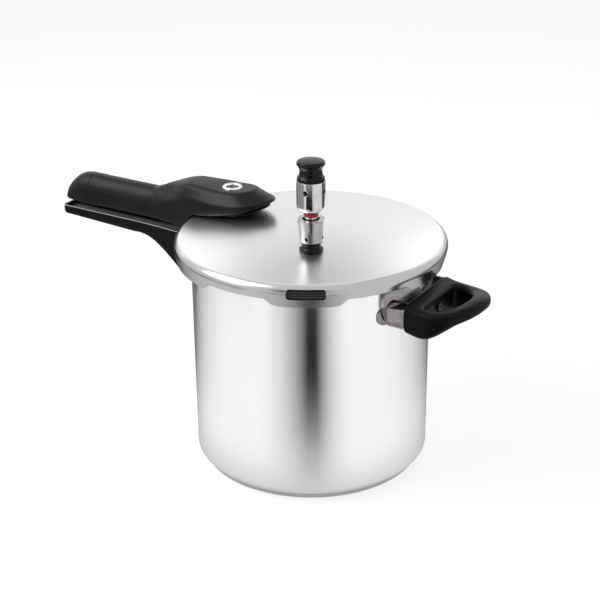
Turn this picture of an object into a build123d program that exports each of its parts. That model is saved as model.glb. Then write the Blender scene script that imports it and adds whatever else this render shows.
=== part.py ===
from build123d import *
import math
import os

# Stovetop pressure cooker: drawn steel pot, bayonet lid, two long handles, a loop handle,
# a weighted vent tower and a pressure indicator in the lid handle.
# Millimetres. Origin at the centre of the base, +Z up, long handles along -X, loop handle along +X.

# Pot
POT_BORE_R = 110.0
POT_WALL = 1.2
POT_RIM_Z = 207.5
POT_CORNER_R = 6.0
CAP_SHEET = 0.8
CORE_T = 5.4
BASE_INSET = 4.7
BASE_TAPER = 2.4
BASE_EDGE_R = 2.2
BEAD_W = 2.3
BEAD_H = 4.3
BEAD_EDGE_R = 1.2

# Bayonet lugs on the pot rim and on the lid skirt
LUG_COUNT = 6
POT_LUG_REACH = 9.3
POT_LUG_T = 2.3
POT_LUG_ANGLE = 24.0
POT_LUG_CORNER = 3.0
LUG_GAP_Z = 0.7
LIP_T = 2.0
LIP_GAP_R = 2.5
LID_LUG_ANGLE = 33.5
LUG_FLARE = 6.0
LUG_EDGE_R = 4.5

# Lid
LID_SHEET = 1.5
LID_OVERHANG = 6.3
LID_WIDE_ABOVE_RIM = 5.5
LID_CROWN = 18.5
SHOULDER_R = 8.0
SKIRT_TAPER = 11.3
SKIRT_DROP = 6.0
WINDOW_W = 34.0
WINDOW_H = 9.4
WINDOW_RISE = 0.9
WINDOW_CORNER = 2.6
FRONT_LUG_ANGLE = -60.0

# Lid gasket
GASKET_LIFT = 0.3
GASKET_SIDE_GAP = 0.5
GASKET_H = 9.6
GASKET_W = 13.5
GASKET_WALL = 3.2
GASKET_CHAMFER = 2.6
GASKET_LIP = 2.2
GASKET_LIP_THIN = 0.9
RIB_COUNT = 3
RIB_PROUD = 0.5
RIB_H = 1.3

# Vent tower: heights are above the lid where the tower stands
VENT_RADIUS = 61.5
VENT_ANGLE = -57.5
PIPE_R = 4.5
PIPE_BORE_R = 2.0
PIPE_STEP = 0.5
PIPE_PAST_CUP = 3.7
PIPE_CHAMFER = 1.0
PIPE_DEPTH = 14.0
THREAD_FIT = 0.05
COLLAR_R = 10.8
COLLAR_WAIST = 2.1
COLLAR_FLANGE_T = 1.8
COLLAR_LIP_T = 1.0
COLLAR_LIP_IN = 0.5
COLLAR_H = 9.0
CUP_FOOT_IN = 0.2
CUP_FLARE = 1.35
CUP_H = 20.4
CUP_WALL = 1.8
CUP_MOUTH_GAP = 2.0
CUP_HOLE_R = 1.65
CUP_HOLE_RISE = 4.2
PORT_COUNT = 4
PORT_TURN = 23.0
VENT_SEAL_W = 4.5
VENT_SEAL_T = 2.7
NUT_WALL = 3.0
NUT_H = 4.0
NUT_FLANGE_W = 2.45
NUT_FLANGE_T = 1.0
SCREEN_WALL = 1.0
SCREEN_DEPTH = 16.0
SCREEN_SLOTS = 8
SCREEN_SLOT_W = 2.4
SCREEN_SLOT_H = 8.0

# Regulator weight on the tower
SEAT_GAP = 0.3
SLEEVE_FIT = 0.7
SLEEVE_WALL = 1.1
SLEEVE_DIP = 4.8
SLEEVE_HIDDEN = 2.6
SLEEVE_ROOF = 3.0
RING_W = 0.7
RING_BULGE = 0.4
RING_H = 3.6
RING_RISE = 2.6
NEEDLE_DIP = 1.6
NEEDLE_TIP_IN = 1.0
NEEDLE_DISC_IN = 0.8
NEEDLE_DISC_T = 2.0
WEIGHT_PAST_CUP = 0.75
WEIGHT_H = 28.6
WEIGHT_RISE = 6.6
WEIGHT_ROUND_R = 5.8
WEIGHT_WALL = 2.9
WEIGHT_FLOOR_T = 3.3
WEIGHT_FLOOR_SLOPE = 3.3
WEIGHT_TOP_T = 4.1
WEIGHT_MOUTH_GAP = 0.5
WEIGHT_PORT_R = 2.5
WEIGHT_PORT_DROP = 8.6
STEM_R = 3.0
STEM_SHOULDER_W = 2.0
STEM_SHOULDER_T = 1.5
SPIN_FIT = 0.06
SPIGOT_WALL = 1.6
SPIGOT_H = 2.4
KNOB_INSET = 0.5
KNOB_WALL = 3.2
KNOB_WAIST = 2.3
KNOB_TOP_PAST = 0.3
KNOB_H = 18.4
KNOB_FLANGE_T = 2.7
KNOB_DISC_T = 3.9
KNOB_EDGE = 2.0
KNOB_EDGE_BOW = 0.6
KNOB_CROWN = 0.6
CLIP_W = 1.6
CLIP_T = 0.8
CLIP_GROOVE = 0.6
CLIP_ROOM = 1.2
CLIP_HEADROOM = 4.0

# Pressure indicator in the nose of the lid handle
INDICATOR_INSET = 39.8
PIN_R = 2.5
PIN_FIT = 0.06
PIN_TRAVEL = 4.0
PIN_HEAD_W = 2.9
PIN_HEAD_T = 3.5
PIN_HEAD_EDGE = 0.8
PIN_RECESS = 2.2
PIN_COLLAR_W = 1.1
PIN_COLLAR_H = 3.6
PIN_FLANGE_T = 1.4
BUSH_WALL = 2.0
BUSH_FLANGE_W = 2.5
BUSH_FLANGE_T = 2.0
BUSH_DEPTH = 9.0
BUSH_NUT_WALL = 2.0
BUSH_NUT_DEPTH = 6.4
SEAL_W = 2.1
SEAL_T = 2.2
SEAL_TAPER = 0.6
BEZEL_GAP = 0.6
BEZEL_W = 3.6
BEZEL_SLEEVE_T = 0.9
BEZEL_DEPTH = 7.5
BEZEL_SEAT = 1.0
BEZEL_RISE = 1.8
BEZEL_FIT = 0.15

# Lid handle: it runs outward along -X, its nose set in from the lid's widest edge
NOSE_R = 26.0
NOSE_INSET = 52.8
NOSE_LENGTH = 20.0
NOSE_WAIST_R = 20.0
NOSE_WAIST_LENGTH = 34.0
NOSE_HEEL_R = 6.0
NOSE_HEEL_LENGTH = 33.0
CREASE_RISE = 7.5
BEVEL_RISE = 11.2
BEVEL_IN = 8.0
TOP_EDGE_R = 6.0
PROW_INSET = 8.8
PROW_LIFT = 0.74
PROW_SLOPE = 0.19
RIM_GAP = 1.2
NECK_LENGTH = 84.0
NECK_DROP = 3.2
GRIP_HALF_W = 13.2
GRIP_SHOULDER_R = 9.6
GRIP_DROP = 7.0
GRIP_REACH = 139.2
GRIP_EDGE_R = 3.0
TAIL_RAKE = 26.0
TAIL_LENGTH = 9.5
SEAM_GAP = 0.3
POCKET_WALL = 6.0
POCKET_ROOF = 9.0
CHANNEL_WALL = 3.9
CHANNEL_ROOF = 8.8
CHANNEL_LENGTH = 82.0
CHANNEL_TO_SEAM = 14.5
CHANNEL_CELLS = 4
CHANNEL_RIB = 2.4
TAIL_PLUG_LENGTH = 9.0
TAIL_PLUG_WALL = 5.2
TAIL_PLUG_FLOOR = 3.0
FIT = 0.2
BASE_PLATE_IN = 4.0
BASE_PLATE_SLOT = 1.6
BASE_PLATE_LIFT = 0.4

# Straps and screws that hold the long handles
STRAP_HALF_W = 9.0
STRAP_T = 2.5
STRAP_INSET = 28.8
STRAP_LENGTH = 52.0
STRAP_FOOT_LENGTH = 18.0
SCREW_R = 2.0
SCREW_HEAD_R = 4.2
SCREW_HEAD_T = 3.2
SCREW_TO_END = 9.0
SCREW_DEPTH = 8.0
SCREW_PAST = 5.1
CROSS_LENGTH = 4.8
CROSS_W = 1.0
CROSS_DEPTH = 1.0

# Pot handle: its tray top lies under the lid handle's grip
HANDLE_GAP = 7.4
TRAY_PAST = 1.0
TRAY_HALF_W = 12.0
TRAY_H = 12.4
TRAY_TAIL_H = 9.2
TRAY_DEPTH = 3.0
TRAY_RIM = 2.2
TRAY_FROM_WALL = 30.8
TRAY_CORNER = 4.0
TRAY_EDGE_R = 3.6
TAIL_CORNER_R = 5.0
ROOT_HALF_W = 18.5
ROOT_H = 57.0
ROOT_LENGTH = 88.8
ROOT_SINK = 7.2
TONGUE_DROP = 14.6
TONGUE_T = 3.0
TONGUE_HALF_W = 8.0
TONGUE_LENGTH = 44.8
PLATE_T = 1.6
PLATE_IN = 3.5
PLATE_H = 40.0
PLATE_DROP = 6.6
PLATE_CORNER = 4.0
POT_SCREW_TO_END = 10.0
POT_SCREW_GRIP = 6.0
POT_SCREW_PAST = 4.5

# Loop handle and its bracket
HELPER_HALF_W = 42.0
HELPER_H = 26.0
HELPER_DROP = 30.0
HELPER_CORNER_R = 9.0
BRACKET_REACH = 9.8
BRACKET_SHEET = 1.2
BRACKET_WEB_IN = 4.0
FLANGE_PAST = 9.0
FLANGE_IN = 4.5
FLANGE_CORNER_R = 7.7
LOOP_REACH = 68.8
LOOP_ARM_W = 12.0
LOOP_ROOT_T = 13.0
LOOP_CORNER_R = 4.0
LOOP_TIP_RISE = 7.0
LOOP_TIP_T = 12.5
LOOP_EDGE_R = 4.8
LOOP_LOW_SAG = 0.22
LOOP_DIP = 3.2
HELPER_SCREW_R = 2.5
HELPER_HEAD_R = 4.0
HELPER_HEAD_T = 2.0

# How far a cutting shape runs past the face it opens
OVERCUT = 1.0

# Pot and lid sizes that follow from the ones above
POT_R = POT_BORE_R + POT_WALL
BASE_TOP_Z = CAP_SHEET + CORE_T
BASE_R = POT_R - BASE_INSET
POT_LUG_R = POT_R + POT_LUG_REACH
POT_LUG_Z = POT_RIM_Z - BEAD_H
LIP_TOP_Z = POT_LUG_Z - LUG_GAP_Z
LUG_Z = LIP_TOP_Z - LIP_T
LIP_R = POT_R + BEAD_W + LIP_GAP_R
LID_R = POT_LUG_R + LID_OVERHANG
LID_WIDE_Z = POT_RIM_Z + LID_WIDE_ABOVE_RIM
LID_TOP_Z = LID_WIDE_Z + LID_CROWN
SKIRT_Z = LID_WIDE_Z - SKIRT_DROP
SHOULDER_CENTRE_R = LID_R - SHOULDER_R
DOME_SINK = LID_CROWN - SHOULDER_R
DOME_R = (SHOULDER_CENTRE_R**2 + DOME_SINK**2) / (2 * DOME_SINK) + SHOULDER_R
DOME_CENTRE_Z = LID_TOP_Z - DOME_R
PITCH = 360.0 / LUG_COUNT


def lid_top_z(radius):
    """Height of the lid's outside on the dome at a radius."""
    return DOME_CENTRE_Z + math.sqrt(DOME_R**2 - radius**2)


# Vent tower and weight: radii, then heights above the lid
PIPE_TOP_R = PIPE_R - PIPE_STEP
TOWER_BORE_R = PIPE_R + THREAD_FIT
CUP_BASE_R = COLLAR_R - CUP_FOOT_IN
CUP_TOP_R = CUP_BASE_R + CUP_FLARE
NUT_ACROSS = (PIPE_R + NUT_WALL) * 2
NUT_FLANGE_R = NUT_ACROSS / 2 + NUT_FLANGE_W
SCREEN_R = NUT_FLANGE_R + THREAD_FIT + SCREEN_WALL
SLEEVE_BORE_R = PIPE_TOP_R + SLEEVE_FIT
SLEEVE_R = SLEEVE_BORE_R + SLEEVE_WALL
CUP_MOUTH_R = SLEEVE_R + CUP_MOUTH_GAP
NEEDLE_R = PIPE_BORE_R - SEAT_GAP
WEIGHT_R = CUP_TOP_R + WEIGHT_PAST_CUP
KNOB_BASE_R = WEIGHT_R - KNOB_INSET
KNOB_TOP_R = KNOB_BASE_R + KNOB_TOP_PAST
SPIGOT_R = KNOB_BASE_R - KNOB_WALL
CLIP_R = STEM_R + CLIP_W
CUP_TOP_H = COLLAR_H + CUP_H
PIPE_TOP_H = CUP_TOP_H + PIPE_PAST_CUP
WEIGHT_LOW_H = CUP_TOP_H + WEIGHT_RISE
WEIGHT_TOP_H = WEIGHT_LOW_H + WEIGHT_H
WEIGHT_CEILING_H = WEIGHT_TOP_H - WEIGHT_TOP_T
SLEEVE_ROOF_H = WEIGHT_LOW_H + SLEEVE_HIDDEN
SLEEVE_TOP_H = SLEEVE_ROOF_H + SLEEVE_ROOF
CLIP_LOW_H = WEIGHT_TOP_H + CLIP_T

# Indicator radii
BUSH_R = PIN_R + BUSH_WALL
BUSH_FLANGE_R = BUSH_R + BUSH_FLANGE_W
BUSH_NUT_ACROSS = (BUSH_R + BUSH_NUT_WALL) * 2
PIN_HEAD_R = PIN_R + PIN_HEAD_W
PIN_COLLAR_R = PIN_R + PIN_COLLAR_W
SEAL_R = PIN_R + SEAL_W
BEZEL_BORE_R = PIN_HEAD_R + BEZEL_GAP
BEZEL_R = BEZEL_BORE_R + BEZEL_W

# Lid handle, strap and screw: distances outward along -X, then heights
NOSE_FRONT = LID_R - NOSE_INSET
NOSE_BACK = NOSE_FRONT + NOSE_LENGTH
NOSE_WAIST = NOSE_BACK + NOSE_WAIST_LENGTH
NOSE_HEEL = NOSE_WAIST + NOSE_HEEL_LENGTH
INDICATOR_RADIUS = LID_R - INDICATOR_INSET
PROW_START = LID_R - PROW_INSET
GRIP_END_TOP = LID_R + GRIP_REACH
GRIP_END_BOTTOM = GRIP_END_TOP + TAIL_RAKE
SEAM_AT = GRIP_END_TOP - TAIL_LENGTH
CHANNEL_END = SEAM_AT - CHANNEL_TO_SEAM
CHANNEL_START = CHANNEL_END - CHANNEL_LENGTH
STRAP_INNER = LID_R - STRAP_INSET
STRAP_OUTER = STRAP_INNER + STRAP_LENGTH
STRAP_FOOT = STRAP_INNER + STRAP_FOOT_LENGTH
LID_SCREW_AT = STRAP_OUTER - SCREW_TO_END
CREASE_Z = LID_TOP_Z + CREASE_RISE
NOSE_TOP_Z = CREASE_Z + BEVEL_RISE
BEZEL_SEAT_Z = NOSE_TOP_Z - BEZEL_SEAT
PROW_Z = lid_top_z(PROW_START) + PROW_LIFT
GRIP_BOTTOM_Z = LID_WIDE_Z - GRIP_DROP
GRIP_TOP_Z = CREASE_Z - NECK_DROP
POCKET_Z = NOSE_TOP_Z - POCKET_ROOF
CHANNEL_TOP_Z = GRIP_TOP_Z - CHANNEL_ROOF
CHANNEL_HALF_W = GRIP_HALF_W - CHANNEL_WALL
STRAP_Z = lid_top_z(STRAP_INNER)
LID_SCREW_HEAD_Z = GRIP_BOTTOM_Z + SCREW_DEPTH
LID_SCREW_TOP_Z = STRAP_Z + STRAP_T + SCREW_PAST

# Pot handle and its strap
TRAY_TOP_Z = GRIP_BOTTOM_Z - HANDLE_GAP
TRAY_END = GRIP_END_BOTTOM + TRAY_PAST
TRAY_START = POT_R + TRAY_FROM_WALL
TONGUE_Z = TRAY_TOP_Z - TONGUE_DROP
TONGUE_END = POT_R + TONGUE_LENGTH
PLATE_HALF_W = ROOT_HALF_W - PLATE_IN
PLATE_HIGH_Z = TRAY_TOP_Z - PLATE_DROP
PLATE_LOW_Z = PLATE_HIGH_Z - PLATE_H
POT_SCREW_AT = TONGUE_END - POT_SCREW_TO_END
POT_SCREW_HEAD_Z = TONGUE_Z - POT_SCREW_GRIP
POT_SCREW_TOP_Z = TONGUE_Z + TONGUE_T + POT_SCREW_PAST

# Loop handle: distances outward along +X, then heights
BRACKET_FRONT = POT_R + BRACKET_REACH
WEB_FACE = BRACKET_FRONT - BRACKET_WEB_IN
LOOP_ROOT_FACE = BRACKET_FRONT + LOOP_ROOT_T
LOOP_TIP = POT_R + LOOP_REACH
LOOP_CENTRE = LOOP_TIP - HELPER_HALF_W
HELPER_MID_Z = POT_RIM_Z - HELPER_DROP
LOOP_TIP_LOW_Z = HELPER_MID_Z + LOOP_TIP_RISE
LOOP_TIP_HIGH_Z = LOOP_TIP_LOW_Z + LOOP_TIP_T

# Circles that the nose's two leaf plans wrap, at its crease and at its flat top: distance outward, radius
CREASE_LEAF = (
    (NOSE_FRONT, NOSE_R), (NOSE_BACK, NOSE_R), (NOSE_WAIST, NOSE_WAIST_R), (NOSE_HEEL, NOSE_HEEL_R),
)
CROWN_LEAF = (
    (NOSE_FRONT + BEVEL_IN, NOSE_R - BEVEL_IN), (NOSE_BACK + BEVEL_IN, NOSE_R - BEVEL_IN),
    (NOSE_WAIST - BEVEL_IN / 4, NOSE_WAIST_R - BEVEL_IN / 2), (NOSE_HEEL - BEVEL_IN * 2.4, NOSE_HEEL_R * 1.4),
)

# Neck stations: distance outward, half width, top height, shoulder radius
NECK_STATIONS = (
    (NOSE_BACK, NOSE_R - 1.0, CREASE_Z - 0.6, 1.2),
    (NOSE_BACK + NECK_LENGTH * 0.33, NOSE_R - 5.1, CREASE_Z - 0.6, 4.0),
    (NOSE_BACK + NECK_LENGTH * 0.675, GRIP_HALF_W + 3.2, CREASE_Z - 0.4, GRIP_SHOULDER_R - 0.8),
    (NOSE_BACK + NECK_LENGTH, GRIP_HALF_W, GRIP_TOP_Z, GRIP_SHOULDER_R),
)

# Root stations of the pot handle: distance outward, half width, height, lower edge radius
ROOT_STATIONS = (
    (POT_R - ROOT_SINK, ROOT_HALF_W, ROOT_H, 6.0),
    (POT_R + ROOT_LENGTH * 0.437, TRAY_HALF_W + 2.8, TRAY_H + 22.8, 5.0),
    (POT_R + ROOT_LENGTH * 0.685, TRAY_HALF_W + 1.0, TRAY_H + 6.6, 4.0),
    (POT_R + ROOT_LENGTH, TRAY_HALF_W, TRAY_H, TRAY_EDGE_R),
)

VENT_X = VENT_RADIUS * math.cos(math.radians(VENT_ANGLE))
VENT_Y = VENT_RADIUS * math.sin(math.radians(VENT_ANGLE))
VENT_SPOT = Pos(VENT_X, VENT_Y, lid_top_z(VENT_RADIUS))
INDICATOR_Z = lid_top_z(INDICATOR_RADIUS)
INDICATOR_SPOT = Pos(-INDICATOR_RADIUS, 0, INDICATOR_Z)


def turned(outline):
    """Solid of revolution about Z from a closed outline in radius and height."""
    return revolve(Plane.XZ * make_face(outline), Axis.Z)


def turned_points(*points):
    """Solid of revolution from the corners of its outline."""
    return turned(Polyline(*points, close=True))


def crown_arc(radius, rise, top):
    """Shallow arc from a radius up to the axis, centred on the axis."""
    ball = (radius**2 + rise**2) / (2 * rise)
    half = math.asin(radius / ball) / 2
    mid = (ball * math.sin(half), top - ball * (1 - math.cos(half)))
    return ThreePointArc((radius, top - rise), mid, (0, top))


def sheared(corners, half_width):
    """Prism across Y from corners in distance outward along -X and height."""
    face = Plane.XZ * make_face(Polyline(*[(-out, z) for out, z in corners], close=True))
    return extrude(face, half_width, both=True)


def block(out_0, out_1, half_width, low, high):
    """Box between two distances outward along -X."""
    return sheared([(out_0, low), (out_1, low), (out_1, high), (out_0, high)], half_width)


def upright(radius, low, high, out):
    """Cylinder along Z at a distance outward along -X."""
    return Pos(-out, 0, low) * extrude(Circle(radius), high - low)


def radial_plane(angle):
    """Plane that faces outward at an angle, with its X along the rim and its Y upward."""
    turn = math.radians(angle)
    return Plane((0, 0, 0), x_dir=(-math.sin(turn), math.cos(turn), 0),
                 z_dir=(math.cos(turn), math.sin(turn), 0))


def across_plane(out):
    """Upright plane across the long handles at a distance outward along -X."""
    return Plane((-out, 0, 0), x_dir=(0, 1, 0), z_dir=(1, 0, 0))


def around(shape, count, turn=0.0):
    """Copies of a shape turned evenly about Z."""
    return [Rot(0, 0, turn + step * 360.0 / count) * shape for step in range(count)]


def ring_sector(inner, outer, angle, low, high, corner):
    """Flat sector of a ring with its two outer corners rounded."""
    half = angle / 2
    edges = [
        CenterArc((0, 0), outer, -half, angle),
        CenterArc((0, 0), inner, -half, angle),
    ]
    edges += [Line(edges[1] @ end, edges[0] @ end) for end in (0, 1)]
    face = make_face(edges)
    tips = [v for v in face.vertices() if math.hypot(v.X, v.Y) > (inner + outer) / 2]
    return Pos(0, 0, low) * extrude(fillet(tips, corner), high - low)


def make_pot_body():
    """Drawn shell with a rolled rim and bayonet lugs."""
    outline = make_face(Polyline(
        (0, BASE_TOP_Z), (POT_R, BASE_TOP_Z), (POT_R, POT_RIM_Z), (POT_BORE_R, POT_RIM_Z),
        (POT_BORE_R, BASE_TOP_Z + POT_WALL), (0, BASE_TOP_Z + POT_WALL), close=True))
    low_out = outline.vertices().sort_by_distance((POT_R, BASE_TOP_Z))[0]
    outline = fillet(low_out, POT_CORNER_R)
    low_in = outline.vertices().sort_by_distance((POT_BORE_R, BASE_TOP_Z + POT_WALL))[0]
    outline = fillet(low_in, POT_CORNER_R - POT_WALL)
    shell = revolve(Plane.XZ * outline, Axis.Z)
    bead_mid = (POT_BORE_R + POT_WALL / 2, POT_RIM_Z - BEAD_H)
    bead = make_face(Polyline(
        bead_mid, (POT_R + BEAD_W, POT_RIM_Z - BEAD_H), (POT_R + BEAD_W, POT_RIM_Z),
        (POT_BORE_R + POT_WALL / 2, POT_RIM_Z), close=True))
    bead_top = bead.vertices().sort_by_distance((POT_R + BEAD_W, POT_RIM_Z))[0]
    bead = fillet(bead_top, BEAD_EDGE_R)
    lug = ring_sector(POT_R, POT_LUG_R, POT_LUG_ANGLE, POT_LUG_Z, POT_LUG_Z + POT_LUG_T,
                      POT_LUG_CORNER)
    return shell + revolve(Plane.XZ * bead, Axis.Z) + around(lug, LUG_COUNT)


def base_outline(inset):
    """Filled cross-section of the encased base, stepped in by a sheet thickness."""
    outline = make_face(Polyline(
        (0, inset), (BASE_R - BASE_TAPER - inset, inset), (BASE_R - inset, BASE_TOP_Z),
        (0, BASE_TOP_Z), close=True))
    edge = outline.vertices().sort_by_distance((BASE_R - BASE_TAPER - inset, inset))[0]
    return revolve(Plane.XZ * fillet(edge, BASE_EDGE_R - inset), Axis.Z)


def pot_outside():
    """Filled cylinder of the pot's straight outside."""
    return extrude(Circle(POT_R), POT_RIM_Z)


def lid_form(inset, floor_z):
    """Filled lid down to a floor: its outside, or its inside when set in by the sheet."""
    lean = math.asin(SHOULDER_CENTRE_R / (DOME_R - SHOULDER_R))
    dome = DOME_R - inset
    turn = SHOULDER_R - inset
    taper = math.radians(SKIRT_TAPER)

    def on_dome(angle):
        return (dome * math.sin(angle), DOME_CENTRE_Z + dome * math.cos(angle))

    def on_shoulder(angle):
        return (SHOULDER_CENTRE_R + turn * math.cos(angle), LID_WIDE_Z + turn * math.sin(angle))

    top, mid, edge = on_dome(0), on_dome(lean / 2), on_dome(lean)
    bend = on_shoulder((math.pi / 2 - lean - taper) / 2)
    hip = on_shoulder(-taper)
    hem = (hip[0] - (hip[1] - floor_z) * math.tan(taper), floor_z)
    return turned([
        ThreePointArc(top, mid, edge), ThreePointArc(edge, bend, hip), Line(hip, hem),
        Line(hem, (0, floor_z)), Line((0, floor_z), top)])


def make_lid_shell():
    """Domed lid with a skirt, inward lugs, a gasket window and holes for its fittings."""
    taper = math.tan(math.radians(SKIRT_TAPER))
    hem_r = LID_R - (LID_WIDE_Z - LUG_Z) * taper - LID_SHEET / 2
    shell = lid_form(0, LUG_Z) - lid_form(LID_SHEET, LUG_Z)
    lip = turned_points((LIP_R, LUG_Z), (hem_r, LUG_Z), (hem_r, LIP_TOP_Z), (LIP_R, LIP_TOP_Z))
    shell += lip
    gap = math.radians((PITCH - LID_LUG_ANGLE) / 2)
    root = LID_R * math.sin(gap)
    half = [
        (root, SKIRT_Z), (root + LUG_FLARE, LUG_Z + LIP_T / 2),
        (root + LUG_FLARE * 3, LUG_Z - LIP_T / 2), (root + LUG_FLARE * 3, LUG_Z - LIP_T * 2)]
    notch = make_face(Polyline(*half, *[(-x, z) for x, z in reversed(half)], close=True))
    soft = [v for v in notch.vertices() if abs(v.X) < root + LUG_FLARE * 2]
    notch = fillet(soft, LUG_EDGE_R)
    reach = LID_R + LID_OVERHANG
    notches = [extrude(radial_plane(angle) * notch, reach) for angle in
               [PITCH * (step + 0.5) for step in range(LUG_COUNT)]]
    shell -= notches
    window = RectangleRounded(WINDOW_W, WINDOW_H, WINDOW_CORNER)
    window = Pos(0, SKIRT_Z + WINDOW_RISE + WINDOW_H / 2) * window
    shell -= extrude(radial_plane(FRONT_LUG_ANGLE) * window, reach)
    shell -= VENT_SPOT * Cylinder(TOWER_BORE_R, LID_CROWN)
    shell -= INDICATOR_SPOT * Cylinder(BUSH_R + THREAD_FIT, LID_CROWN)
    return shell


def make_gasket():
    """Channel-section sealing ring with ribs round its outside."""
    taper = math.tan(math.radians(SKIRT_TAPER))
    low = POT_RIM_Z + GASKET_LIFT
    high = low + GASKET_H
    outer = LID_R - LID_SHEET - (LID_WIDE_Z - low) * taper - GASKET_SIDE_GAP - RIB_PROUD
    inner = outer - GASKET_W
    ring = turned_points(
        (outer, low), (outer, high - GASKET_CHAMFER), (outer - GASKET_CHAMFER, high), (inner, high),
        (inner, high - GASKET_LIP), (outer - GASKET_WALL, high - GASKET_LIP - GASKET_LIP_THIN),
        (outer - GASKET_WALL, low + GASKET_LIP), (inner, low + GASKET_LIP - GASKET_LIP_THIN),
        (inner, low))
    room = high - GASKET_CHAMFER - low - RIB_H
    for step in range(RIB_COUNT):
        foot = low + room * step / (RIB_COUNT - 1)
        ring += turned_points((outer - RIB_PROUD, foot), (outer + RIB_PROUD, foot),
                              (outer + RIB_PROUD, foot + RIB_H), (outer - RIB_PROUD, foot + RIB_H))
    return ring


def make_vent_pipe():
    """Steam pipe through the lid, threaded below its seat."""
    shelf = COLLAR_H + CUP_WALL
    return VENT_SPOT * turned_points(
        (PIPE_BORE_R, -PIPE_DEPTH), (PIPE_R, -PIPE_DEPTH), (PIPE_R, shelf), (PIPE_TOP_R, shelf),
        (PIPE_TOP_R, PIPE_TOP_H - PIPE_CHAMFER), (PIPE_TOP_R - PIPE_CHAMFER, PIPE_TOP_H),
        (PIPE_BORE_R, PIPE_TOP_H))


def make_vent_collar():
    """Waisted heat collar between the lid and the cup."""
    bore = TOWER_BORE_R
    foot, flange, lip = -COLLAR_FLANGE_T, COLLAR_FLANGE_T, COLLAR_H - COLLAR_LIP_T
    lip_r = COLLAR_R - COLLAR_LIP_IN
    waist = (COLLAR_R - COLLAR_WAIST, (flange + lip) / 2)
    collar = turned([
        Line((bore, foot), (COLLAR_R, foot)), Line((COLLAR_R, foot), (COLLAR_R, flange)),
        ThreePointArc((COLLAR_R, flange), waist, (lip_r, lip)),
        Line((lip_r, lip), (lip_r, COLLAR_H)), Line((lip_r, COLLAR_H), (bore, COLLAR_H)),
        Line((bore, COLLAR_H), (bore, foot))])
    return VENT_SPOT * collar - lid_form(0, SKIRT_Z)


def make_vent_cup():
    """Flared cup round the pipe with drain ports near its foot."""
    foot, top, bore = COLLAR_H, CUP_TOP_H, TOWER_BORE_R
    floor, roof = foot + CUP_WALL, top - CUP_WALL
    cup = turned_points(
        (bore, foot), (CUP_BASE_R, foot), (CUP_TOP_R, top), (CUP_MOUTH_R, top), (CUP_MOUTH_R, roof),
        (CUP_TOP_R - CUP_WALL, roof), (CUP_BASE_R - CUP_WALL, floor), (bore, floor))
    port = Plane.YZ * Pos(0, foot + CUP_HOLE_RISE) * Circle(CUP_HOLE_R)
    port = Pos(CUP_BASE_R / 2, 0, 0) * extrude(port, CUP_TOP_R)
    return VENT_SPOT * Rot(0, 0, VENT_ANGLE) * (cup - around(port, PORT_COUNT, -PORT_TURN))


def make_vent_seal():
    """Silicone washer under the lid, shaped to the dome."""
    depth = LID_SHEET + VENT_SEAL_T
    outer = PIPE_R + VENT_SEAL_W
    ring = turned_points((TOWER_BORE_R, -depth), (outer, -depth), (outer, 0), (TOWER_BORE_R, 0))
    return VENT_SPOT * ring & lid_form(LID_SHEET, LUG_Z)


def hex_nut(across, bore, height):
    """Plain hexagon nut standing on its lower face."""
    return extrude(RegularPolygon(across / 2, 6, major_radius=False) - Circle(bore), height)


def make_vent_nut():
    """Flanged nut that clamps the tower to the lid."""
    top = -(LID_SHEET + VENT_SEAL_T)
    flange = extrude(Circle(NUT_FLANGE_R) - Circle(TOWER_BORE_R), NUT_FLANGE_T)
    nut = hex_nut(NUT_ACROSS, TOWER_BORE_R, NUT_H)
    return VENT_SPOT * (Pos(0, 0, top - NUT_FLANGE_T) * flange + Pos(0, 0, top - NUT_H) * nut)


def make_vent_screen():
    """Slotted cap over the inner end of the pipe that keeps food out."""
    top = -(LID_SHEET + VENT_SEAL_T)
    low = top - SCREEN_DEPTH
    inner = SCREEN_R - SCREEN_WALL
    cap = turned_points((0, low), (SCREEN_R, low), (SCREEN_R, top), (inner, top),
                        (inner, low + SCREEN_WALL), (0, low + SCREEN_WALL))
    slot = Pos(0, low + SCREEN_WALL * 2 + SCREEN_SLOT_H / 2) * Rectangle(SCREEN_SLOT_W, SCREEN_SLOT_H)
    slot = Pos(inner / 2, 0, 0) * extrude(Plane.YZ * slot, SCREEN_R)
    return VENT_SPOT * (cap - around(slot, SCREEN_SLOTS))


def make_weight_core():
    """Sleeve over the pipe with the stem that the weight turns on."""
    shoulder = WEIGHT_CEILING_H - SEAT_GAP
    ledge, ledge_r = shoulder - STEM_SHOULDER_T, STEM_R + STEM_SHOULDER_W
    groove_r, clip_top = STEM_R - CLIP_GROOVE, CLIP_LOW_H + CLIP_T
    foot = CUP_TOP_H - SLEEVE_DIP
    core = turned_points(
        (SLEEVE_BORE_R, foot), (SLEEVE_R, foot), (SLEEVE_R, SLEEVE_TOP_H), (STEM_R, SLEEVE_TOP_H),
        (STEM_R, ledge), (ledge_r, ledge), (ledge_r, shoulder), (STEM_R, shoulder),
        (STEM_R, CLIP_LOW_H), (groove_r, CLIP_LOW_H), (groove_r, clip_top), (STEM_R, clip_top),
        (STEM_R, clip_top + CLIP_T), (0, clip_top + CLIP_T), (0, SLEEVE_TOP_H),
        (NEEDLE_R, SLEEVE_TOP_H), (NEEDLE_R, SLEEVE_ROOF_H), (SLEEVE_BORE_R, SLEEVE_ROOF_H))
    return VENT_SPOT * core


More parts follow.
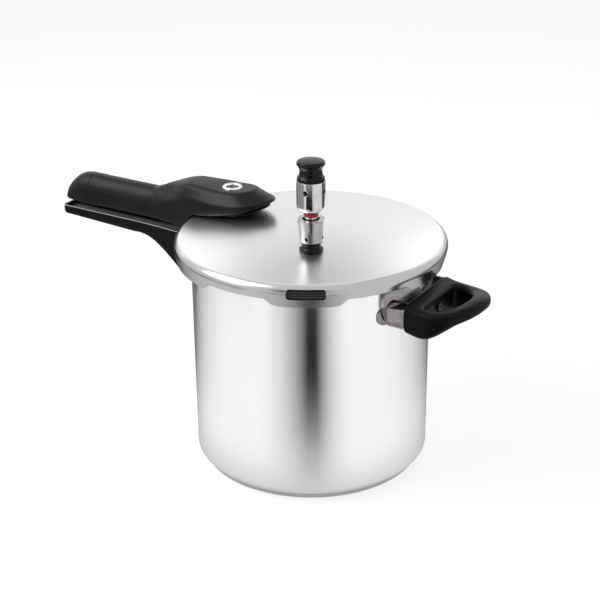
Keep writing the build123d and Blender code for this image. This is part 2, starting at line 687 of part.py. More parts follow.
def make_weight_needle():
    """Valve needle that closes the pipe."""
    seat = PIPE_TOP_H + SEAT_GAP
    tip_r, disc_r, disc_top = NEEDLE_R - NEEDLE_TIP_IN, PIPE_TOP_R - NEEDLE_DISC_IN, seat + NEEDLE_DISC_T
    needle = turned_points(
        (0, seat - NEEDLE_DIP), (tip_r, seat - NEEDLE_DIP), (NEEDLE_R, seat), (disc_r, seat),
        (disc_r, disc_top), (NEEDLE_R, disc_top), (NEEDLE_R, SLEEVE_TOP_H), (0, SLEEVE_TOP_H))
    return VENT_SPOT * needle


def make_weight_ring():
    """Silicone ring on the sleeve between the cup and the weight."""
    low = CUP_TOP_H + RING_RISE
    top = low + RING_H
    outer = SLEEVE_R + RING_W
    edge = outer - RING_BULGE
    ring = turned([
        Line((SLEEVE_R, low), (edge, low)),
        ThreePointArc((edge, low), (outer, (low + top) / 2), (edge, top)),
        Line((edge, top), (SLEEVE_R, top)), Line((SLEEVE_R, top), (SLEEVE_R, low))])
    return VENT_SPOT * ring


def make_weight_clip():
    """Retaining ring that keeps the weight on its stem."""
    inner, top = STEM_R - CLIP_GROOVE, CLIP_LOW_H + CLIP_T
    ring = turned_points((inner, CLIP_LOW_H), (CLIP_R, CLIP_LOW_H), (CLIP_R, top), (inner, top))
    gap = Pos((CLIP_R + STEM_R) / 2, 0, CLIP_LOW_H) * Box(CLIP_R, STEM_R, CLIP_T * 4)
    return VENT_SPOT * (ring - gap)


def make_weight_shell():
    """Hollow regulator weight with steam ports near its top."""
    bore, inner, mouth = STEM_R + SPIN_FIT, WEIGHT_R - WEIGHT_WALL, SLEEVE_R + WEIGHT_MOUTH_GAP
    spigot_in, spigot_top = SPIGOT_R - SPIGOT_WALL, WEIGHT_TOP_H + SPIGOT_H
    floor = WEIGHT_LOW_H + WEIGHT_FLOOR_T
    outline = make_face(Polyline(
        (mouth, WEIGHT_LOW_H), (WEIGHT_R, WEIGHT_LOW_H), (WEIGHT_R, WEIGHT_TOP_H),
        (SPIGOT_R, WEIGHT_TOP_H), (SPIGOT_R, spigot_top), (spigot_in, spigot_top),
        (spigot_in, WEIGHT_TOP_H), (bore, WEIGHT_TOP_H), (bore, WEIGHT_CEILING_H),
        (inner, WEIGHT_CEILING_H), (inner, floor + WEIGHT_FLOOR_SLOPE), (mouth, floor), close=True))
    corner = outline.vertices().sort_by_distance((WEIGHT_R, WEIGHT_LOW_H))[0]
    shell = revolve(Plane.XZ * fillet(corner, WEIGHT_ROUND_R), Axis.Z)
    port = Plane.YZ * Pos(0, WEIGHT_TOP_H - WEIGHT_PORT_DROP) * Circle(WEIGHT_PORT_R)
    port = Pos(inner / 2, 0, 0) * extrude(port, WEIGHT_R)
    return VENT_SPOT * Rot(0, 0, VENT_ANGLE) * (shell - around(port, PORT_COUNT, -PORT_TURN))


def make_weight_knob():
    """Waisted black knob seated on the weight's spigot."""
    low = WEIGHT_TOP_H
    top = low + KNOB_H
    socket, room = SPIGOT_R + THREAD_FIT, CLIP_R + CLIP_ROOM
    flange, disc, edge = low + KNOB_FLANGE_T, top - KNOB_DISC_T, top - KNOB_CROWN - KNOB_EDGE
    waist = (KNOB_BASE_R - KNOB_WAIST, (flange + disc) / 2)
    shelf, roof = low + SPIGOT_H, low + SPIGOT_H + CLIP_HEADROOM
    crown_r = KNOB_TOP_R - KNOB_EDGE
    bow = (KNOB_TOP_R - KNOB_EDGE_BOW, top - KNOB_CROWN - KNOB_EDGE_BOW)
    knob = turned([
        Line((socket, low), (KNOB_BASE_R, low)), Line((KNOB_BASE_R, low), (KNOB_BASE_R, flange)),
        ThreePointArc((KNOB_BASE_R, flange), waist, (KNOB_TOP_R, disc)),
        Line((KNOB_TOP_R, disc), (KNOB_TOP_R, edge)),
        ThreePointArc((KNOB_TOP_R, edge), bow, (crown_r, top - KNOB_CROWN)),
        crown_arc(crown_r, KNOB_CROWN, top),
        Line((0, top), (0, roof)), Line((0, roof), (room, roof)), Line((room, roof), (room, shelf)),
        Line((room, shelf), (socket, shelf)), Line((socket, shelf), (socket, low))])
    return VENT_SPOT * knob


def leaf(circles):
    """Plan of a leaf along -X: the hull of circles given by distance outward and radius."""
    rings = [Pos(-out, 0) * Circle(radius) for out, radius in circles]
    return make_hull([edge for ring in rings for edge in ring.edges()])


def nose_outline(inset):
    """Plan of the handle's nose at its crease, stepped in from its edge."""
    return leaf([(out, radius - inset) for out, radius in CREASE_LEAF if radius > inset])


def arch_section(out, half_width, high, radius):
    """Upright section of the grip: flat foot, straight sides and rounded shoulders."""
    bend = radius * (1 - math.sqrt(0.5))
    side, low, rise = half_width, GRIP_BOTTOM_Z, high - radius
    edges = [
        Line((-side, low), (side, low)), Line((side, low), (side, rise)),
        ThreePointArc((side, rise), (side - bend, high - bend), (side - radius, high)),
        Line((side - radius, high), (radius - side, high)),
        ThreePointArc((radius - side, high), (bend - side, high - bend), (-side, rise)),
        Line((-side, rise), (-side, low))]
    return across_plane(out) * make_face(edges)


def handle_form():
    """Outer form of the lid handle: nose with a bevelled top, neck, grip and slanted tail."""
    plan = nose_outline(0)
    wall = Pos(0, 0, GRIP_BOTTOM_Z) * extrude(plan, CREASE_Z - GRIP_BOTTOM_Z)
    cap = loft([Pos(0, 0, CREASE_Z) * plan, Pos(0, 0, NOSE_TOP_Z) * leaf(CROWN_LEAF)], ruled=True)
    cap = fillet(cap.faces().sort_by(Axis.Z)[-1].edges(), TOP_EDGE_R)
    sections = [arch_section(*station) for station in NECK_STATIONS]
    grip = extrude(sections[-1], NECK_STATIONS[-1][0] - GRIP_END_BOTTOM)
    height = GRIP_TOP_Z - GRIP_BOTTOM_Z
    grip -= sheared([
        (GRIP_END_BOTTOM + TAIL_RAKE, GRIP_BOTTOM_Z - height), (GRIP_END_BOTTOM * 2, GRIP_BOTTOM_Z - height),
        (GRIP_END_BOTTOM * 2, GRIP_TOP_Z + height), (GRIP_END_TOP - TAIL_RAKE, GRIP_TOP_Z + height)], NOSE_R)
    tail = grip.faces().sort_by(Axis.X)[0]
    return wall + cap + loft(sections) + fillet(tail.edges(), GRIP_EDGE_R)


def prow_cut(drop):
    """Everything under the rising lower edge of the nose, lowered by a slot."""
    low = lid_top_z(PROW_START) - NOSE_R
    tip_z = PROW_Z + PROW_SLOPE * PROW_START - drop
    return sheared([(0, low), (PROW_START, low), (PROW_START, PROW_Z - drop), (0, tip_z)], NOSE_R * 2)


def tail_side(out):
    """Half space from a distance outward to past the tail."""
    return block(out, GRIP_END_BOTTOM * 2, NOSE_R * 2, GRIP_BOTTOM_Z - NOSE_R, CREASE_Z + NOSE_R)


def tail_plug(gap):
    """Plug that joins the tail cap to the grip, grown by a gap."""
    return block(
        SEAM_AT - TAIL_PLUG_LENGTH - gap, SEAM_AT + SEAM_GAP, GRIP_HALF_W - TAIL_PLUG_WALL + gap,
        GRIP_BOTTOM_Z + TAIL_PLUG_FLOOR - gap, CHANNEL_TOP_Z - TAIL_PLUG_FLOOR + gap)


def make_lid_handle(form):
    """Hollow handle moulding: pocketed nose over the lid and a ribbed grip open underneath."""
    handle = form - lid_form(-RIM_GAP, LUG_Z - LID_CROWN) - prow_cut(0)
    pocket = Pos(0, 0, GRIP_BOTTOM_Z) * extrude(nose_outline(POCKET_WALL), POCKET_Z - GRIP_BOTTOM_Z)
    handle -= pocket & block(0, LID_R - LID_SHEET, NOSE_R, GRIP_BOTTOM_Z, NOSE_TOP_Z)
    pitch = CHANNEL_LENGTH / CHANNEL_CELLS
    for cell in range(CHANNEL_CELLS):
        start = CHANNEL_START + cell * pitch
        end = start + pitch - CHANNEL_RIB
        handle -= block(start, end, CHANNEL_HALF_W, GRIP_BOTTOM_Z - OVERCUT, CHANNEL_TOP_Z)
    sleeve_r = BEZEL_BORE_R + BEZEL_SLEEVE_T + BEZEL_FIT
    handle -= upright(BEZEL_R + BEZEL_FIT, BEZEL_SEAT_Z, NOSE_TOP_Z + OVERCUT, INDICATOR_RADIUS)
    handle -= upright(sleeve_r, POCKET_Z - OVERCUT, NOSE_TOP_Z, INDICATOR_RADIUS)
    strap_top = STRAP_Z + STRAP_T + FIT
    handle -= block(STRAP_INNER, STRAP_OUTER + FIT, STRAP_HALF_W + FIT, STRAP_Z - FIT, strap_top)
    handle -= upright(SCREW_HEAD_R + FIT, GRIP_BOTTOM_Z - OVERCUT, LID_SCREW_HEAD_Z, LID_SCREW_AT)
    handle -= upright(SCREW_R + FIT / 2, GRIP_BOTTOM_Z, LID_SCREW_TOP_Z + FIT, LID_SCREW_AT)
    return handle - tail_side(SEAM_AT) - tail_plug(FIT)


def make_tail_cap(form):
    """End cap of the grip with a plug that fits the moulding."""
    return (form & tail_side(SEAM_AT + SEAM_GAP)) + tail_plug(0)


def make_base_plate():
    """Lower closing plate between the nose and the dome, with a locating ring."""
    plate = Pos(0, 0, SKIRT_Z) * extrude(nose_outline(BASE_PLATE_IN), CREASE_Z - SKIRT_Z)
    ring = Pos(0, 0, SKIRT_Z) * extrude(nose_outline(POCKET_WALL + FIT), CREASE_Z - SKIRT_Z)
    front = block(0, PROW_START, NOSE_R, SKIRT_Z, CREASE_Z)
    plate = (plate & prow_cut(BASE_PLATE_SLOT)) + (ring & prow_cut(-BASE_PLATE_SLOT) & front)
    plate -= lid_form(-BASE_PLATE_LIFT, LUG_Z)
    plate -= block(STRAP_INNER - FIT, STRAP_OUTER, STRAP_HALF_W + FIT, SKIRT_Z, CREASE_Z)
    return plate - upright(BUSH_FLANGE_R + FIT, SKIRT_Z, CREASE_Z, INDICATOR_RADIUS)


def make_lid_strap():
    """Steel strap welded to the dome that carries the lid handle."""
    strap = block(STRAP_INNER, STRAP_OUTER, STRAP_HALF_W, STRAP_Z, STRAP_Z + STRAP_T)
    strap += block(STRAP_INNER, STRAP_FOOT, STRAP_HALF_W, SKIRT_Z, STRAP_Z + STRAP_T / 2)
    strap -= lid_form(0, LUG_Z)
    return strap - upright(SCREW_R + FIT / 2, SKIRT_Z, CREASE_Z, LID_SCREW_AT)


def cross_recess():
    """Driver recess with arms along X and Y, sunk below the origin and open above it."""
    arm = Box(CROSS_LENGTH, CROSS_W, CROSS_DEPTH * 2)
    return arm + Rot(0, 0, 90) * arm


def upright_screw(out, head_z, top_z):
    """Screw driven upward, with its head below and a cross recess in it."""
    head = upright(SCREW_HEAD_R, head_z - SCREW_HEAD_T, head_z, out)
    shank = upright(SCREW_R, head_z - SCREW_HEAD_T / 2, top_z, out)
    return head + shank - Pos(-out, 0, head_z - SCREW_HEAD_T) * cross_recess()


def make_indicator_bush():
    """Bush through the lid that guides the indicator pin."""
    bore = PIN_R + PIN_FIT
    flange = turned_points((bore, -BUSH_FLANGE_T), (BUSH_FLANGE_R, -BUSH_FLANGE_T),
                           (BUSH_FLANGE_R, BUSH_FLANGE_T), (bore, BUSH_FLANGE_T))
    barrel = turned_points((bore, -BUSH_DEPTH), (BUSH_R, -BUSH_DEPTH),
                           (BUSH_R, BUSH_FLANGE_T), (bore, BUSH_FLANGE_T))
    return (INDICATOR_SPOT * flange - lid_form(0, LUG_Z)) + INDICATOR_SPOT * barrel


def make_indicator_nut():
    """Nut on the bush, its upper face shaped to the inside of the dome."""
    nut = Pos(0, 0, -BUSH_NUT_DEPTH) * hex_nut(BUSH_NUT_ACROSS, BUSH_R + THREAD_FIT, BUSH_NUT_DEPTH)
    return INDICATOR_SPOT * nut & lid_form(LID_SHEET, LUG_Z)


def pin_foot_h():
    """Height of the upper face of the pin's lower flange above the lid."""
    return -BUSH_DEPTH - PIN_TRAVEL - SEAT_GAP - SEAL_T


def make_indicator_pin():
    """Pressure pin with a head in the bezel, a stop collar and a lower flange."""
    foot, rest = pin_foot_h(), BUSH_FLANGE_T + SEAT_GAP
    head = NOSE_TOP_Z - PIN_RECESS - INDICATOR_Z
    low, neck, stop = foot - PIN_FLANGE_T, head - PIN_HEAD_T, rest + PIN_COLLAR_H
    return INDICATOR_SPOT * turned_points(
        (0, low), (SEAL_R, low), (SEAL_R, foot), (PIN_R, foot), (PIN_R, rest), (PIN_COLLAR_R, rest),
        (PIN_COLLAR_R, stop), (PIN_R, stop), (PIN_R, neck), (PIN_HEAD_R, neck),
        (PIN_HEAD_R, head - PIN_HEAD_EDGE), (PIN_HEAD_R - PIN_HEAD_EDGE, head), (0, head))


def make_indicator_seal():
    """Silicone ring that closes against the bush when the pin is up."""
    foot = pin_foot_h()
    top = foot + SEAL_T
    return INDICATOR_SPOT * turned_points(
        (PIN_R, foot), (SEAL_R, foot), (SEAL_R - SEAL_TAPER, top), (PIN_R, top))


def make_indicator_bezel():
    """Bright domed ring round the indicator with a sleeve into the handle."""
    seat, edge, top, foot = BEZEL_SEAT_Z, NOSE_TOP_Z, NOSE_TOP_Z + BEZEL_RISE, BEZEL_SEAT_Z - BEZEL_DEPTH
    sleeve = BEZEL_BORE_R + BEZEL_SLEEVE_T
    crest = ((BEZEL_R + sleeve) / 2, top)
    ring = turned([
        Line((sleeve, seat), (BEZEL_R, seat)), Line((BEZEL_R, seat), (BEZEL_R, edge)),
        ThreePointArc((BEZEL_R, edge), crest, (BEZEL_BORE_R, edge)),
        Line((BEZEL_BORE_R, edge), (BEZEL_BORE_R, foot)),
        Line((BEZEL_BORE_R, foot), (sleeve, foot)), Line((sleeve, foot), (sleeve, seat))])
    return Pos(-INDICATOR_RADIUS, 0, 0) * ring


def tray_section(out, half_width, height, radius):
    """Upright section of the pot handle: flat top, straight sides and rounded lower edges."""
    bend = radius * (1 - math.sqrt(0.5))
    low = TRAY_TOP_Z - height
    side, rise = half_width, low + radius
    edges = [
        Line((-side, TRAY_TOP_Z), (side, TRAY_TOP_Z)), Line((side, TRAY_TOP_Z), (side, rise)),
        ThreePointArc((side, rise), (side - bend, low + bend), (side - radius, low)),
        Line((side - radius, low), (radius - side, low)),
        ThreePointArc((radius - side, low), (bend - side, low + bend), (-side, rise)),
        Line((-side, rise), (-side, TRAY_TOP_Z))]
    return across_plane(out) * make_face(edges)


def wall_plate(half_width, low, high, thick, corner):
    """Curved plate that lies on the pot wall, on the side of +X."""
    blank = Pos(0, (low + high) / 2) * RectangleRounded(half_width * 2, high - low, corner)
    blank = extrude(radial_plane(0) * blank, POT_R + thick * 2)
    return blank & (Pos(0, 0, low) * extrude(Circle(POT_R + thick) - Circle(POT_R), high - low))


def pot_strap(gap):
    """Welded plate and tongue that carry the pot handle, grown by a gap."""
    plate = wall_plate(PLATE_HALF_W + gap, PLATE_LOW_Z - gap, PLATE_HIGH_Z + gap, PLATE_T + gap, PLATE_CORNER)
    tongue = block(POT_BORE_R, TONGUE_END + gap, TONGUE_HALF_W + gap,
                   TONGUE_Z - gap, TONGUE_Z + TONGUE_T + gap)
    return Rot(0, 0, 180) * plate + (tongue - pot_outside())


def make_pot_strap():
    """Welded plate and tongue with the screw's hole."""
    hole = upright(SCREW_R + FIT / 2, TONGUE_Z - OVERCUT, TONGUE_Z + TONGUE_T + OVERCUT, POT_SCREW_AT)
    return pot_strap(0) - hole


def make_pot_handle():
    """Lower handle moulding: gusset root on the wall and a tray-topped grip."""
    sections = [tray_section(*station) for station in ROOT_STATIONS]
    grip = loft([sections[-1], tray_section(TRAY_END, TRAY_HALF_W, TRAY_TAIL_H, TRAY_EDGE_R)], ruled=True)
    tail = grip.faces().sort_by(Axis.X)[0]
    grip = fillet(tail.edges().sort_by(Axis.Z)[0], TAIL_CORNER_R)
    handle = loft(sections) + grip
    length = TRAY_END - TRAY_RIM - TRAY_START
    tray = RectangleRounded(length, (TRAY_HALF_W - TRAY_RIM) * 2, TRAY_CORNER)
    handle -= Pos(-TRAY_START - length / 2, 0, TRAY_TOP_Z - TRAY_DEPTH) * extrude(tray, TRAY_DEPTH * 2)
    handle -= extrude(Circle(POT_R + FIT), POT_RIM_Z) + pot_strap(FIT)
    handle -= upright(SCREW_HEAD_R + FIT, TRAY_TOP_Z - ROOT_H, POT_SCREW_HEAD_Z, POT_SCREW_AT)
    hole_low, hole_top = POT_SCREW_HEAD_Z - OVERCUT, POT_SCREW_TOP_Z + FIT
    return handle - upright(SCREW_R + FIT / 2, hole_low, hole_top, POT_SCREW_AT)


def helper_section(inset):
    """Rounded rectangle of the loop handle's root."""
    return Pos(0, HELPER_MID_Z) * RectangleRounded(
        (HELPER_HALF_W - inset) * 2, HELPER_H - inset * 2, HELPER_CORNER_R - inset)


def helper_prism(inset, start, end):
    """Prism of the root's section between two distances along +X."""
    return Pos(start, 0, 0) * extrude(radial_plane(0) * helper_section(inset), end - start)


def along_x(radius, start, end):
    """Cylinder along X at the loop handle's screw."""
    return Pos(start, 0, HELPER_MID_Z) * extrude(Plane.YZ * Circle(radius), end - start)


def make_helper_bracket():
    """Pressed bracket: flange on the wall, a sleeve round the root and a web for the screw."""
    sleeve = helper_prism(0, 0, BRACKET_FRONT) - helper_prism(BRACKET_SHEET, 0, BRACKET_FRONT)
    web = helper_prism(BRACKET_SHEET / 2, WEB_FACE - BRACKET_SHEET, WEB_FACE)
    flange_half_h = HELPER_H / 2 - FLANGE_IN
    flange = wall_plate(HELPER_HALF_W + FLANGE_PAST, HELPER_MID_Z - flange_half_h,
                        HELPER_MID_Z + flange_half_h, BRACKET_SHEET, FLANGE_CORNER_R)
    bracket = (sleeve + web - pot_outside()) + flange
    return bracket - along_x(HELPER_SCREW_R + FIT / 2, POT_R + BRACKET_SHEET + FIT, BRACKET_FRONT)


def loop_plan():
    """Plan of the loop: straight root, round outer edge and a finger opening."""
    outer = make_face([
        Line((BRACKET_FRONT, -HELPER_HALF_W), (LOOP_CENTRE, -HELPER_HALF_W)),
        ThreePointArc((LOOP_CENTRE, -HELPER_HALF_W), (LOOP_TIP, 0), (LOOP_CENTRE, HELPER_HALF_W)),
        Line((LOOP_CENTRE, HELPER_HALF_W), (BRACKET_FRONT, HELPER_HALF_W)),
        Line((BRACKET_FRONT, HELPER_HALF_W), (BRACKET_FRONT, -HELPER_HALF_W))])
    inner = Pos(LOOP_CENTRE, 0) * Circle(HELPER_HALF_W - LOOP_ARM_W)
    room = Rectangle(LOOP_TIP - LOOP_ROOT_FACE, HELPER_HALF_W * 2)
    opening = inner & (Pos((LOOP_ROOT_FACE + LOOP_TIP) / 2, 0) * room)
    corners = [v for v in opening.vertices() if v.X < LOOP_ROOT_FACE + FIT]
    return outer - fillet(corners, LOOP_CORNER_R)


def make_helper_handle():
    """Loop handle: root that plugs into the bracket and a ring that rises outward."""
    low, high = HELPER_MID_Z - HELPER_H / 2, HELPER_MID_Z + HELPER_H / 2
    middle = (BRACKET_FRONT + LOOP_TIP) / 2
    low_sag = low + (LOOP_TIP_LOW_Z - low) * LOOP_LOW_SAG
    side = make_face([
        ThreePointArc((BRACKET_FRONT, low), (middle, low_sag), (LOOP_TIP, LOOP_TIP_LOW_Z)),
        Line((LOOP_TIP, LOOP_TIP_LOW_Z), (LOOP_TIP, LOOP_TIP_HIGH_Z)),
        ThreePointArc((LOOP_TIP, LOOP_TIP_HIGH_Z), (middle, high - LOOP_DIP), (BRACKET_FRONT, high)),
        Line((BRACKET_FRONT, high), (BRACKET_FRONT, low))])
    slab = extrude(Plane.XZ * side, HELPER_HALF_W * 2, both=True)
    loop = Pos(0, 0, low) * extrude(loop_plan(), LOOP_TIP_HIGH_Z - low) & slab
    faces = loop.faces().filter_by(lambda f: abs(f.normal_at().Z) > 0.5)
    rims = [e for e in faces.edges() if e.center().X > BRACKET_FRONT + LOOP_EDGE_R / 8]
    loop = fillet(rims, LOOP_EDGE_R)
    plug = helper_prism(BRACKET_SHEET + FIT, WEB_FACE + FIT, BRACKET_FRONT + OVERCUT)
    return loop + plug - along_x(HELPER_SCREW_R + FIT / 2, POT_R, LOOP_ROOT_FACE + OVERCUT)


def make_helper_screw():
    """Screw through the loop handle's root into the bracket."""
    head = along_x(HELPER_HEAD_R, LOOP_ROOT_FACE, LOOP_ROOT_FACE + HELPER_HEAD_T)
    shank = along_x(HELPER_SCREW_R, POT_R + BRACKET_SHEET + FIT * 2, LOOP_ROOT_FACE + HELPER_HEAD_T / 2)
    recess = Pos(LOOP_ROOT_FACE + HELPER_HEAD_T, 0, HELPER_MID_Z) * Rot(0, 90, 0) * cross_recess()
    return head + shank - recess


def build():
    """Every piece by its node name."""
    form = handle_form()
    return {
        "pot_body": make_pot_body(),
        "base_core": base_outline(CAP_SHEET),
        "base_cap": base_outline(0) - base_outline(CAP_SHEET),
        "helper_bracket": make_helper_bracket(),
        "helper_handle": make_helper_handle(),
        "helper_screw": make_helper_screw(),
        "pot_strap": make_pot_strap(),
        "pot_handle": make_pot_handle(),
        "pot_handle_screw": upright_screw(POT_SCREW_AT, POT_SCREW_HEAD_Z, POT_SCREW_TOP_Z),
        "lid_shell": make_lid_shell(),
        "lid_gasket": make_gasket(),
        "lid_strap": make_lid_strap(),
        "lid_handle": make_lid_handle(form),
        "lid_handle_tail": make_tail_cap(form),
        "lid_handle_base": make_base_plate(),
        "lid_handle_screw": upright_screw(LID_SCREW_AT, LID_SCREW_HEAD_Z, LID_SCREW_TOP_Z),
        "indicator_bezel": make_indicator_bezel(),
        "indicator_bush": make_indicator_bush(),
        "indicator_nut": make_indicator_nut(),
        "indicator_pin": make_indicator_pin(),
        "indicator_seal": make_indicator_seal(),
        "vent_pipe": make_vent_pipe(),
        "vent_collar": make_vent_collar(),
        "vent_cup": make_vent_cup(),
        "vent_seal": make_vent_seal(),
        "vent_nut": make_vent_nut(),
        "vent_screen": make_vent_screen(),
        "weight_core": make_weight_core(),
        "weight_needle": make_weight_needle(),
        "weight_ring": make_weight_ring(),
        "weight_clip": make_weight_clip(),
        "weight_shell": make_weight_shell(),
        "weight_knob": make_weight_knob(),
    }


os.makedirs("parts", exist_ok=True)
for node, shape in build().items():
    export_step(shape, f"parts/{node}.step")
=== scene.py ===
"""Looks of a stovetop pressure cooker: its finishes, its small dressed pieces, the studio and the camera.

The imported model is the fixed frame. Lengths are in metres, in the frame of the part: the origin lies under
the middle of the base, +Z is up, the long handles run along -X and the loop handle along +X.
"""
import logging
import math
from abc import ABC, abstractmethod
from dataclasses import dataclass, field
from enum import Enum
from functools import cache
from typing import Mapping, Optional, Sequence, Union

import bmesh
import bpy
from mathutils import Matrix, Vector

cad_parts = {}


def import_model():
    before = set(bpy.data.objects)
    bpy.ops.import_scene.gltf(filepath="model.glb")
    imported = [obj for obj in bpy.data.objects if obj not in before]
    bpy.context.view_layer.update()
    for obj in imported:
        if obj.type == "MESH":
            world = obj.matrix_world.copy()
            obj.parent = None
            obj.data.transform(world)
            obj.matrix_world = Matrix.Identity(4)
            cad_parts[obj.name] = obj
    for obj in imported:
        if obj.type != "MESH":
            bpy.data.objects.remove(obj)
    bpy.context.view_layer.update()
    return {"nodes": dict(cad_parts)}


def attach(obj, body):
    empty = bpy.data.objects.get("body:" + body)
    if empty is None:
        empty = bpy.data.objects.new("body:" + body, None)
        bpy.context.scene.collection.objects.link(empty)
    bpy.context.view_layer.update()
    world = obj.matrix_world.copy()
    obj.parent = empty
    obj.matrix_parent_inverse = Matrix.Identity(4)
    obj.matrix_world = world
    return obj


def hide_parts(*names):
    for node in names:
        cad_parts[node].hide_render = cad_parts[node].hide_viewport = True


LOG = logging.getLogger("pressure_cooker")

NOISE_MIDDLE = 0.5

Colour = tuple[float, float, float]
Nodes = Mapping[str, bpy.types.Object]
Socket = bpy.types.NodeSocket
Sockets = Mapping[str, Socket]
Feed = Union[float, Sequence[float], Socket]


class NodeGraph:
    """A node tree with short calls that add nodes and wire them.

    The Mix node has inputs of every kind under the same names, so those for colours go by their places.
    """

    mix_inputs: Sequence[int] = (0, 6, 7)
    mix_output: int = 2

    def __init__(self, tree: bpy.types.NodeTree) -> None:
        """Hold the tree that the calls work on."""
        self.tree = tree

    def add(self, kind: str, **settings: object) -> bpy.types.Node:
        """Add a shader node.

        Args:
            kind: The node's class name without its ShaderNode prefix.
            settings: Properties to set on the node.

        Returns:
            The new node.
        """
        node = self.tree.nodes.new("ShaderNode" + kind)
        for name, value in settings.items():
            setattr(node, name, value)
        return node

    def feed(self, socket: Socket, value: Feed) -> None:
        """Wire a socket to another one, or set it to a plain value."""
        if isinstance(value, Socket):
            self.tree.links.new(value, socket)
        else:
            socket.default_value = value

    def math(self, operation: str, *values: Feed) -> Socket:
        """Work out a number from others.

        Args:
            operation: The operation of Blender's Math node.
            values: Numbers or sockets, in the node's order.

        Returns:
            The socket that holds the result.
        """
        node = self.add("Math", operation=operation)
        for socket, value in zip(node.inputs, values):
            self.feed(socket, value)
        return node.outputs[0]

    def spread(self, value: Feed, low: Feed, high: Feed, start: float = 0.0, end: float = 1.0) -> Socket:
        """Map a number smoothly from one span to another.

        Args:
            value: The number to map.
            low: Result at the start of the span.
            high: Result at its end.
            start: Where the span starts.
            end: Where the span ends.

        Returns:
            The socket that holds the mapped number.
        """
        node = self.add("MapRange", interpolation_type="SMOOTHSTEP")
        entries = {"Value": value, "From Min": start, "From Max": end, "To Min": low, "To Max": high}
        for name, entry in entries.items():
            self.feed(node.inputs[name], entry)
        return node.outputs["Result"]

    def ramp(self, value: Feed, start: float, end: float) -> Socket:
        """Map a number straight from 0 at the start of a span to 1 at its end, and hold it there."""
        node = self.add("MapRange")
        for name, entry in {"Value": value, "From Min": start, "From Max": end}.items():
            self.feed(node.inputs[name], entry)
        return node.outputs["Result"]

    def mix(self, share: Feed, first: Feed, second: Feed) -> Socket:
        """Mix two colours by a share and return the socket of the result."""
        node = self.add("Mix", data_type="RGBA")
        for spot, value in zip(self.mix_inputs, (share, first, second)):
            self.feed(node.inputs[spot], value)
        return node.outputs[self.mix_output]

    def noise(self, vector: Feed, scale: Feed, detail: float) -> Socket:
        """Add a noise texture and return its value."""
        node = self.add("TexNoise")
        self.feed(node.inputs["Vector"], vector)
        self.feed(node.inputs["Scale"], scale)
        node.inputs["Detail"].default_value = detail
        return node.outputs[0]

    def rest(self, share: Feed) -> Socket:
        """What a share leaves of 1."""
        return self.math("SUBTRACT", 1.0, share)

    def place(self) -> Socket:
        """Place on the object, along its own axes."""
        return self.add("TexCoord").outputs["Object"]

    def coordinates(self) -> Sequence[Socket]:
        """X, Y and Z of the place on the object."""
        parts = self.add("SeparateXYZ")
        self.feed(parts.inputs[0], self.place())
        return tuple(parts.outputs)

    def radius(self, x: Feed, y: Feed) -> Socket:
        """Distance of a place from the object's Z axis."""
        return self.math("SQRT", self.math("ADD", self.math("MULTIPLY", x, x), self.math("MULTIPLY", y, y)))


class Effect(ABC):
    """A shader node group that several finishes place with their own values."""

    name: str = ""
    inputs: Mapping[str, tuple[str, Feed]] = {}
    outputs: Mapping[str, str] = {}

    @abstractmethod
    def draw(self, graph: NodeGraph, given: bpy.types.NodeOutputs) -> Sockets:
        """Draw the group's nodes.

        Args:
            graph: The group's own tree.
            given: The sockets of the group's inputs, by name.

        Returns:
            The socket for each of the group's outputs.
        """

    def group(self) -> bpy.types.NodeTree:
        """Build the node group at its first use and return it."""
        known = bpy.data.node_groups.get(self.name)
        if known:
            return known
        tree = bpy.data.node_groups.new(self.name, "ShaderNodeTree")
        for name, (kind, value) in self.inputs.items():
            socket = tree.interface.new_socket(name, in_out="INPUT", socket_type="NodeSocket" + kind)
            socket.default_value = value
        for name, kind in self.outputs.items():
            tree.interface.new_socket(name, in_out="OUTPUT", socket_type="NodeSocket" + kind)
        start = tree.nodes.new("NodeGroupInput")
        end = tree.nodes.new("NodeGroupOutput")
        for name, socket in self.draw(NodeGraph(tree), start.outputs).items():
            tree.links.new(socket, end.inputs[name])
        return tree

    def place(self, graph: NodeGraph, **values: Feed) -> bpy.types.NodeOutputs:
        """Place the group in a material.

        Args:
            graph: The material's tree.
            values: The group's inputs, with underscores for spaces.

        Returns:
            The outputs of the placed group, by name.
        """
        node = graph.add("Group", node_tree=self.group())
        for name, value in values.items():
            graph.feed(node.inputs[name.replace("_", " ")], value)
        return node.outputs


